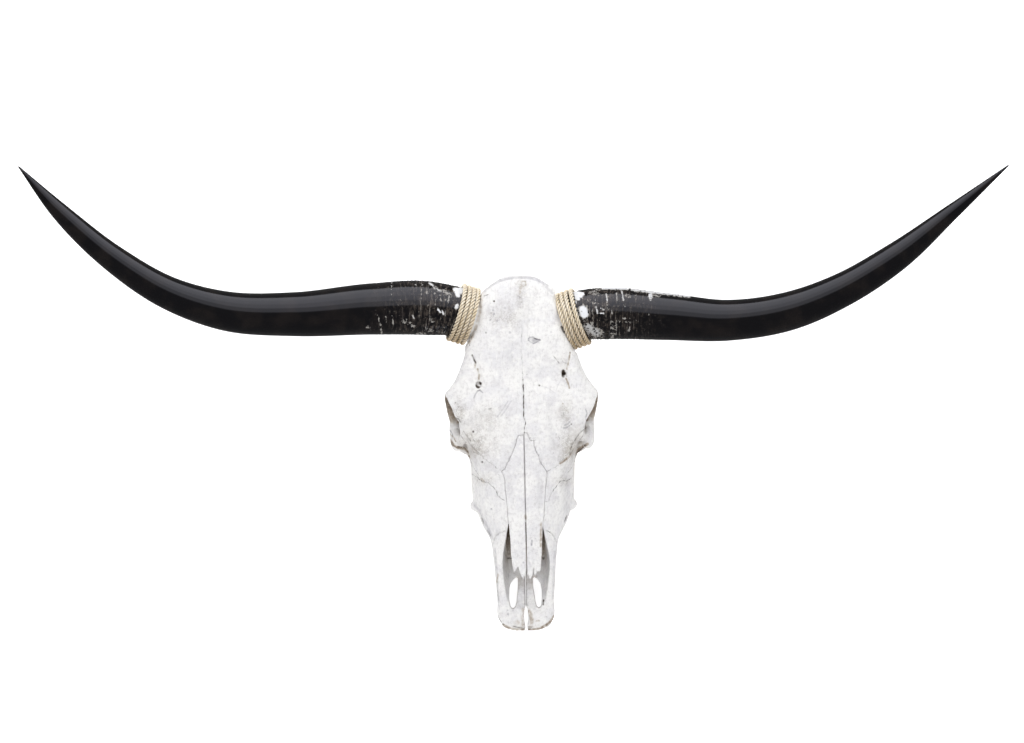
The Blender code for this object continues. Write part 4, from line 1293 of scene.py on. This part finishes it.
# cream marks near the lashing in the x, y view: strength, half width, points
hornMarks = {
    "left": rowsOf(
        """
1.3 3  -94.9 501.4  -84.6 501.8;
1.3 3.4  -92 497.3  -85.7 497.7;
1.25 2.6  -92.3 493.2  -88.8 491.6;
0.9 1.2  -91 489;
1.15 3  -91.4 477.6  -92.7 474.7;
0.6 1  -102.2 496  -104.4 482.1;
0.38 1  -110.1 497.2  -110.8 488.9;
1.1 1.6  -120.3 473  -116.3 468.5;
1 1.5  -113.6 469.6  -111.9 465.7;
0.5 0.8  -108.6 477.1  -109.3 462.5;
0.42 0.8  -122.7 490.6  -123.4 478.9;
0.78 2.2  -131.5 511.3  -126.3 507.4;
0.62 3.4  -124.1 504.1  -115.5 498.5;
0.5 3  -110.3 499.9  -100.2 491.6;
0.42 3  -120.8 487.6  -106.2 484.4;
0.4 3.4  -79.6 495.5  -72.2 499.8;
0.62 1.2  -125 495.6  -116.3 493.4;
0.5 1  -135.2 501.1  -135.6 495.3;
0.45 1  -131.8 501  -132.4 495.2;
0.45 1  -128.6 501  -128.7 495.8;
0.8 1.2  -151.7 509.2;
0.8 1.2  -141.6 508.6;
0.8 1.1  -187 513.1;
0.8 1.1  -187.1 508.1;
0.36 0.9  -143.3 514.5  -143.9 482.5;
0.34 0.9  -187.1 506.6  -187.1 492;
0.36 0.9  -209.7 513  -206.9 505.6;
0.42 5  -168.4 454.9  -156.8 448.8;
0.8 1.3  -156.5 462.7  -154.4 459.8;
0.45 1.2  -187.2 465.9  -185.2 449.4;
0.4 1.2  -207.7 466  -203.7 449.8;
0.36 1.2  -196.1 464.3  -194.8 454;
0.45 1.6  -203.5 445.4  -203.6 439.6;
0.4 2.4  -224.2 448.8  -218.4 445.8;
0.42 2.6  -131.7 460  -127.4 454.1;
0.4 3  -139.3 444.1  -129.2 440.9;
0.36 3  -151.2 438.5  -141 436.8
""",
        2,
    ),
    "right": rowsOf(
        """
1.3 2.6  81.8 493.5  93.5 490.9;
1.3 3.2  82.9 489.4  90.2 487.8;
1.25 2.8  83.1 485  86.6 483.5;
1.05 1.4  83 480  82.9 476.5;
1.2 7.4  92.7 467.2  94.3 461;
0.45 1.1  103.7 481.8  103.6 476.9;
0.42 3.4  103.5 493.1  121 488.3;
0.4 3  100.3 479.9  114.8 475.2;
0.55 1.1  110.9 481.6  110.3 470.9;
0.42 1.2  106.3 472.5  106 461.6;
0.72 1.9  112.4 470.2  113.9 460.6;
1 1.4  118.5 468.1  122.9 467.1;
0.95 1.3  117.5 461.1  122.4 461;
0.7 1.5  127.3 489.6  128.1 479.3;
1 1.3  128.4 479.8;
0.4 1.5  120.3 484.8  120.5 479.5;
0.42 1  128 476.4  128.6 466.1;
0.58 1.2  142.4 491.5  142.5 479.8;
0.68 1.6  150.1 494.1  152.3 479.9;
0.85 1.3  154 470  155.1 468.5;
0.36 3.6  157.6 486  170.1 488.7;
0.74 4.8  191.9 489.7  191.8 483.1;
0.6 2.4  191.8 483.1  191.1 478;
0.5 2  196.5 486.7  205.9 485;
0.6 1.4  188.3 458.1;
0.55 1.2  134.3 468.4  134.7 460.2;
0.55 1.7  151.6 453.3  156.3 453.8;
0.36 1  143.6 448.5  175.1 448.7;
0.62 9.5  99.5 441.9  112.5 432.8;
0.46 2.6  134.8 449.2  135.2 426.4;
0.42 2.2  141.2 449  140.2 430.7;
0.36 2  159.8 455.2  159.4 434.7;
0.5 2.6  106.4 493.6  118.3 498.6;
0.8 2.8  122.7 498.8  159.3 497.4;
0.72 2.8  165.1 495.5  249.8 483.5
""",
        2,
    ),
}
hornPit = (90.7, 465.5)  # a dark fleck in the largest mark of the right horn


def hornPath(sideName, count=300):
    seat, axis = hornAxes(sideName)[:2]
    radius = hornBase["radius"]
    start = seat + axis * hornBase["gap"] / 2
    clear = seat + axis * (lashing["turns"] * lashing["diameter"] / 2 + 2)
    points = [(*start, radius), (*clear, radius)] + hornSizes["paths"][sideName]
    places = runsOf([Vector(point[:3]) for point in points])
    stops = np.linspace(0, places[-1], count)
    shape = track(places, points, stops)
    shape[:, 3] = np.maximum(shape[:, 3], 0.9)
    shape[-1, 3] = 0.35  # rounds off the tip
    return shape, stops


def hornTree(surface):
    counts = dict.fromkeys(("Rings", "Sides"), "NodeSocketInt")
    sizes = dict.fromkeys(("Ridge depth", "Ridge spacing", "Ridge reach", "Seed"), "NodeSocketFloat")
    tree, given = newTree("horn grown along its path", {**counts, **sizes})
    turn = addNode(tree, "GeometryNodeSplineParameter").outputs["Factor"]
    kept = captured(tree, unitCircle(tree, given["Sides"]), {"turn": turn})
    body = swept(tree, given, kept["Geometry"])
    along = numberAt(tree, "along")
    # growth ridges that fade towards the tip, uneven in spacing and depth
    feeds = {"W": calc(tree, "ADD", along, given["Seed"]), "Scale": 60.0, "Detail": 2.0}
    uneven = addNode(tree, "ShaderNodeTexNoise", feeds, noise_dimensions="1D").outputs[0]
    ridges = calc(tree, "DIVIDE", along, given["Ridge spacing"])
    phase = times(tree, calc(tree, "MULTIPLY_ADD", uneven, 3.0, ridges), 2 * math.pi)
    feeds = {"Value": along, "From Min": 0.0, "From Max": given["Ridge reach"], "To Min": 1.0, "To Max": 0.0}
    fade = addNode(tree, "ShaderNodeMapRange", feeds).outputs[0]
    lift = times(tree, times(tree, calc(tree, "SINE", phase), fade), given["Ridge depth"])
    normal = addNode(tree, "GeometryNodeInputNormal").outputs[0]
    move = addNode(tree, "ShaderNodeVectorMath", {0: normal, "Scale": lift}, operation="SCALE").outputs[0]
    body = addNode(tree, "GeometryNodeSetPosition", {"Geometry": body, "Offset": move}).outputs[0]
    place = tubePlace(tree, along, times(tree, kept["turn"], 2 * math.pi))
    return closeTree(tree, stored(tree, body, "hornPlace", place, "FLOAT_VECTOR"), surface)


def makeHorns(surface):
    tree = hornTree(surface)
    away = skullToRoom.to_3x3().normalized() @ Vector((0, 0, 1))
    for number, sideName in enumerate(sides):
        shape, stops = hornPath(sideName)
        points = [skullToRoom @ Vector(row[:3]) for row in shape]
        floats = {"thickness": shape[:, 3] * mm, "along": stops * mm}
        chain = chainObject(f"horn_{sideName}_visual", points, floats)
        horn = runTree(chain, tree, {**hornSizes, "Seed": 3.0 + 5.0 * number})
        mesh = horn.data
        mesh.shade_smooth()
        mesh.set_sharp_from_angle(angle=math.radians(60))
        spots = np.array([(roomToSkull @ vert.co)[:] for vert in mesh.vertices])
        up = (np.array([vert.normal[:] for vert in mesh.vertices]) @ np.array(away)) > 0
        pale = np.zeros(len(spots))
        for strength, width, line in hornMarks[sideName]:
            shares = np.clip(1.35 - toLine(spots[:, :2], oneLine(line)) / width, 0, 1)
            pale = np.maximum(pale, strength * shares * up)
        pale *= np.clip(toLine(spots[:, :2], oneLine([hornPit])) / 2.0, 0, 1)
        storeValues(mesh, "pale", pale)
        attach(horn, "root")
        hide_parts(f"horn_{sideName}")
        print("horn", sideName, "has", len(mesh.polygons), "faces")


# lashings

ropeSizes = {
    "Rings": 1000,
    "Profile points": 30,
    "Lay length": 0.019,
    "points": 520,
    "unwound": 0.17,  # share of the last turn that isn't there
    "stepFrom": 0.84,  # share of a turn after which the rope steps over to the next
    "tightness": 0.965,
    "startAngle": {"left": 200, "right": -20},
    "wobble": 0.22,
    "slack": {"left": 0.4, "right": 2.0},  # of the last turn, towards the poll
}


def windingPath(sideName):
    # turns lie side by side, and each steps over to the next in a short stretch out of sight
    seat, axis, across, up = hornAxes(sideName)
    side = sides[sideName]
    radius = lashing["diameter"] / 2
    half = lashing["turns"] * radius
    hornRadius = hornBase["radius"] + hornBase["gap"] + radius
    final = lashing["turns"] - 1
    count = ropeSizes["points"] - 1
    points, thickness = [], []
    for i in range(ropeSizes["points"]):
        turn = (lashing["turns"] - ropeSizes["unwound"]) * i / count
        whole = min(int(turn), final)
        step = 0.0
        if turn - whole > ropeSizes["stepFrom"] and whole < final:
            t = (turn - whole - ropeSizes["stepFrom"]) / 0.16
            step = t * t * (3 - 2 * t)
        place = -half + radius * (2 * (whole + step) + 1)
        angle = math.radians(ropeSizes["startAngle"][sideName]) + 2 * math.pi * turn * side
        spoke = across * math.cos(angle) + up * math.sin(angle)
        sway = noise.noise(Vector((turn * 2.3, side * 5.0, 0.0))) * ropeSizes["wobble"]
        if turn > final:
            sway += ropeSizes["slack"][sideName] * max(0.0, spoke.y * 0.75 + spoke.z * 0.65) ** 6
        points.append(skullToRoom @ (seat + spoke * (hornRadius + 0.1) + axis * (place + sway)))
        ending = min(i, count - i) / 8
        thickness.append(ropeSizes["tightness"] * radius * mm * min(1.0, 0.45 + 0.55 * ending))
    return points, thickness


def ropeTree(surface):
    kinds = {"Rings": "NodeSocketInt", "Profile points": "NodeSocketInt", "Lay length": "NodeSocketFloat"}
    tree, given = newTree("three strands laid along a path", kinds)
    circle = unitCircle(tree, given["Profile points"])
    # section of three touching strands: the outline radius at each angle
    third = 2 * math.pi / 3
    centre, strand = 0.5, 0.5
    factor = addNode(tree, "GeometryNodeSplineParameter").outputs["Factor"]
    angle = times(tree, factor, 2 * math.pi)
    local = calc(tree, "SUBTRACT", calc(tree, "MODULO", angle, third), third / 2)
    offset = times(tree, calc(tree, "SINE", local), centre)
    rest = calc(tree, "SUBTRACT", strand * strand, times(tree, offset, offset))
    reach = calc(tree, "MULTIPLY_ADD", calc(tree, "COSINE", local), centre, calc(tree, "SQRT", rest))
    x, y = [times(tree, calc(tree, kind, angle), reach) for kind in ("COSINE", "SINE")]
    outline = addNode(tree, "ShaderNodeCombineXYZ", {"X": x, "Y": y}).outputs[0]
    kept = captured(tree, circle, {"angle": angle, "crest": reach})
    feeds = {"Geometry": kept["Geometry"], "Position": outline}
    profile = addNode(tree, "GeometryNodeSetPosition", feeds).outputs[0]
    along = numberAt(tree, "along")
    twist = times(tree, calc(tree, "DIVIDE", along, given["Lay length"]), 2 * math.pi)
    body = swept(tree, given, profile, twist)
    place = tubePlace(tree, along, calc(tree, "ADD", kept["angle"], twist))
    body = stored(tree, body, "ropePlace", place, "FLOAT_VECTOR")
    return closeTree(tree, stored(tree, body, "crest", kept["crest"], "FLOAT"), surface)


def makeLashings(surface):
    tree = ropeTree(surface)
    for sideName in sides:
        points, thickness = windingPath(sideName)
        runs = runsOf(points)
        chain = chainObject(f"rope_{sideName}_visual", points, {"thickness": thickness, "along": runs})
        rope = runTree(chain, tree, ropeSizes)
        rope.data.shade_smooth()
        # painted shade: darker on the side towards the muzzle
        seat = hornBase["seats"][sideName]
        depth = np.array([seat[1] - (roomToSkull @ vert.co).y for vert in rope.data.vertices])
        storeValues(rope.data, "muzzleSideShade", np.clip(0.5 + depth / 80, 0, 1))
        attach(rope, "root")
        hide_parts(f"rope_{sideName}")
        print("rope", sideName, "is", round(runs[-1], 3), "m long and has", len(rope.data.polygons), "faces")


# materials


def newSurface(name):
    surface = bpy.data.materials.new(name)
    surface.use_nodes = True
    return surface, surface.node_tree, surface.node_tree.nodes["Principled BSDF"]


def ramp(tree, source, low, high, bottom=0.0, top=1.0):
    feeds = {"Value": source, "From Min": low, "From Max": high, "To Min": bottom, "To Max": top}
    return addNode(tree, "ShaderNodeMapRange", feeds, interpolation_type="SMOOTHSTEP").outputs[0]


def blended(tree, share, first, second):
    return addNode(tree, "ShaderNodeMix", {0: share, 6: first, 7: second}, data_type="RGBA").outputs[2]


def coated(tree, colour, coats):
    # each coat: source, where it starts, where it is full, strength, colour
    for source, low, high, strength, tone in coats:
        colour = blended(tree, times(tree, ramp(tree, source, low, high), strength), colour, linear(tone))
    return colour


def clouds(tree, vector, scale, detail=4.0, roughness=0.5, stretch=None):
    if stretch:
        vector = addNode(tree, "ShaderNodeMapping", {"Vector": vector, "Scale": stretch}).outputs[0]
    feeds = {"Vector": vector, "Scale": scale, "Detail": detail, "Roughness": roughness}
    return addNode(tree, "ShaderNodeTexNoise", feeds).outputs[0]


def amount(tree, name, output="Fac"):
    return addNode(tree, "ShaderNodeAttribute", attribute_name=name).outputs[output]


def relief(tree, height, strength, distance):
    feeds = {"Height": height, "Strength": strength, "Distance": distance}
    return addNode(tree, "ShaderNodeBump", feeds).outputs[0]


def bleachedBone():
    # dry bone, sun-bleached and brushed clean: chalky white and matt, mottled grey, with fine grain
    surface, tree, shader = newSurface("sun-bleached bone, dry")
    place = addNode(tree, "ShaderNodeTexCoord").outputs["Object"]
    broad = clouds(tree, place, 26.0, 3.0, 0.6)  # 40 mm
    blotch = clouds(tree, place, 75.0, 4.0, 0.6)  # 13 mm
    mottle = clouds(tree, place, 210.0, 5.0, 0.66)  # 5 mm
    speck = clouds(tree, place, 640.0, 3.0, 0.6)  # 1.5 mm
    grain = clouds(tree, place, 420.0, 4.0, 0.6, (1.0, 0.16, 0.5))
    feeds = {"Vector": place, "Scale": 130.0, "Detail": 3.0}
    warp = addNode(tree, "ShaderNodeTexNoise", feeds).outputs["Color"]
    bent = addNode(tree, "ShaderNodeVectorMath", {0: warp, "Scale": 0.006}, operation="SCALE").outputs[0]
    bent = addNode(tree, "ShaderNodeVectorMath", {0: place, 1: bent}, operation="ADD").outputs[0]
    feeds = {"Vector": bent, "Scale": 270.0}
    net = addNode(tree, "ShaderNodeTexVoronoi", feeds, feature="DISTANCE_TO_EDGE").outputs[0]
    pits, stain, enamel = [amount(tree, name) for name in ("pits", "stain", "enamel")]
    veins = times(tree, ramp(tree, net, 0.16, 0.02), times(tree, pits, ramp(tree, blotch, 0.36, 0.6)))
    colour = blended(tree, ramp(tree, broad, 0.4, 0.64), linear("#efeeec"), linear("#e3e2e3"))
    coats = [
        (blotch, 0.5, 0.72, 0.42, "#d2cfd0"),
        (blotch, 0.44, 0.28, 0.5, "#f7f6f2"),
        (mottle, 0.5, 0.66, 0.34, "#c0bdbc"),
        (mottle, 0.44, 0.32, 0.45, "#faf9f6"),
        (grain, 0.54, 0.7, 0.26, "#b5b2b0"),
    ]
    colour = coated(tree, colour, coats)
    # stain and painted shade, from tan to dark brown
    tan = times(tree, stain, ramp(tree, mottle, 0.3, 0.66, 0.72, 1.16))
    shares = [
        (times(tree, ramp(tree, speck, 0.62, 0.72), ramp(tree, blotch, 0.42, 0.6, 0.12, 0.62)), "#a09a97"),
        (times(tree, pits, ramp(tree, mottle, 0.34, 0.62, 0.1, 0.62)), "#c0b9ad"),
        (times(tree, veins, 0.85), "#7f766b"),
        (times(tree, ramp(tree, speck, 0.56, 0.68), times(tree, pits, 0.7)), "#8a8179"),
        (times(tree, amount(tree, "shade"), 0.9), "#77747f"),
        (ramp(tree, tan, 0.02, 0.6, 0.0, 0.85), "#b3a89a"),
        (ramp(tree, tan, 0.4, 0.85, 0.0, 0.9), "#857768"),
        (ramp(tree, tan, 0.8, 1.1, 0.0, 0.8), "#5a4d42"),
        (times(tree, enamel, 0.75), "#d9cdb2"),
        # dark joints and dirt, and painted shadow where rope meets bone and under the edge of the muzzle
        (ramp(tree, amount(tree, "creviceAndShadow"), 0.05, 0.95), "#443b34"),
    ]
    for share, tone in shares:
        colour = blended(tree, share, colour, linear(tone))
    rough = {0: enamel, 2: ramp(tree, mottle, 0.3, 0.7, 0.5, 0.66), 3: 0.3}
    height = calc(tree, "ADD", times(tree, grain, 0.5), times(tree, speck, 0.4))
    height = calc(tree, "ADD", height, times(tree, mottle, 0.9))
    height = calc(tree, "SUBTRACT", height, times(tree, veins, 1.6))
    feeds = {
        "Base Color": colour,
        "Roughness": addNode(tree, "ShaderNodeMix", rough, data_type="FLOAT").outputs[0],
        "Specular IOR Level": 0.32,
        "Normal": relief(tree, height, 0.7, 0.0011),
    }
    feed(tree, shader, feeds)
    return surface


def polishedHorn():
    # keratin sheath, sanded and polished: near black and glossy, with pale growth streaks at the base
    surface, tree, shader = newSurface("black horn, polished")
    place = amount(tree, "hornPlace", "Vector")
    along = addNode(tree, "ShaderNodeSeparateXYZ", {0: place}).outputs["X"]
    base = ramp(tree, along, 0.165, 0.02)
    streak = clouds(tree, place, 1.0, 4.0, 0.6, (420.0, 1.3, 1.3))
    blotch = clouds(tree, place, 1.0, 6.0, 0.65, (210.0, 5.0, 5.0))
    room = addNode(tree, "ShaderNodeTexCoord").outputs["Object"]
    cloud = clouds(tree, room, 42.0, 5.0)
    flecks = clouds(tree, room, 240.0, 5.0, 0.65)
    brown = times(tree, ramp(tree, blotch, 0.44, 0.62), times(tree, ramp(tree, streak, 0.36, 0.6), base))
    line = times(tree, ramp(tree, streak, 0.6, 0.66), times(tree, base, ramp(tree, cloud, 0.4, 0.56)))
    cream = times(tree, ramp(tree, flecks, 0.6, 0.66), times(tree, base, ramp(tree, blotch, 0.45, 0.55)))
    colour = blended(tree, ramp(tree, cloud, 0.42, 0.7), linear("#060506"), linear("#15110f"))
    for share, strength, tone in ((brown, 0.72, "#574e46"), (line, 0.6, "#8b847c"), (cream, 0.55, "#9b948a")):
        colour = blended(tree, times(tree, share, strength), colour, linear(tone))
    # worn patches with broken edges, where the marks are
    pale = amount(tree, "pale")
    broken = calc(tree, "ADD", times(tree, flecks, 3.1), times(tree, streak, 0.9))
    ragged = calc(tree, "SUBTRACT", calc(tree, "ADD", pale, broken), 2.0)
    patch = times(tree, ramp(tree, ragged, 0.34, 0.6), ramp(tree, pale, 0.04, 0.2))
    white = blended(tree, ramp(tree, pale, 0.4, 0.95), linear("#96928c"), linear("#e9ebee"))
    worn = calc(tree, "MAXIMUM", patch, line)
    height = calc(tree, "SUBTRACT", times(tree, times(tree, streak, base), 0.5), times(tree, worn, 0.3))
    feeds = {
        "Base Color": blended(tree, times(tree, patch, 0.93), colour, white),
        "Roughness": ramp(tree, worn, 0.0, 1.0, 0.13, 0.5),
        "IOR": 1.54,
        "Specular Tint": linear("#f2f3ff"),
        "Normal": relief(tree, height, 0.5, 0.0005),
    }
    feed(tree, shader, feeds)
    return surface


def laidRope():
    # sisal, spun and laid in three strands: straw-coloured, matt, with fibres, painted shade between strands
    # and painted shade on the side towards the muzzle
    surface, tree, shader = newSurface("sisal rope, three-strand laid")
    place = amount(tree, "ropePlace", "Vector")
    fibre = clouds(tree, place, 1.0, 4.0, 0.6, (180.0, 9.0, 9.0))  # about 0.35 mm wide, along the rope
    tone = clouds(tree, place, 1.0, 3.0, stretch=(40.0, 1.5, 1.5))
    colour = blended(tree, ramp(tree, tone, 0.35, 0.68), linear("#f7eedd"), linear("#e5d5b4"))
    colour = coated(tree, colour, [(fibre, 0.5, 0.68, 0.55, "#a88e64"), (fibre, 0.42, 0.3, 0.4, "#fdf7ea")])
    # painted shade: brown on the side of the rope towards the muzzle
    shadedSide = times(tree, ramp(tree, amount(tree, "muzzleSideShade"), 0.28, 1.05), ramp(tree, tone, 0.3, 0.7, 0.45, 0.95))
    colour = blended(tree, shadedSide, colour, linear("#a58c66"))
    # painted shade: dark brown in the valleys between strands
    strandValleyShade = ramp(tree, amount(tree, "crest"), 0.88, 0.5, 0.0, 0.85)
    feeds = {
        "Base Color": blended(tree, strandValleyShade, colour, linear("#5a4527")),
        "Roughness": 0.82,
        "Specular IOR Level": 0.3,
        "Sheen Weight": 0.15,
        "Normal": relief(tree, fibre, 0.7, 0.0004),
    }
    feed(tree, shader, feeds)
    return surface


placeCamera()
lightStudio()
layFloor()
print("camera, light and floor placed")
makeHorns(polishedHorn())
makeLashings(laidRope())
makeBones(bleachedBone())
for helper in helpers:
    bpy.data.objects.remove(helper)
print("helpers removed")
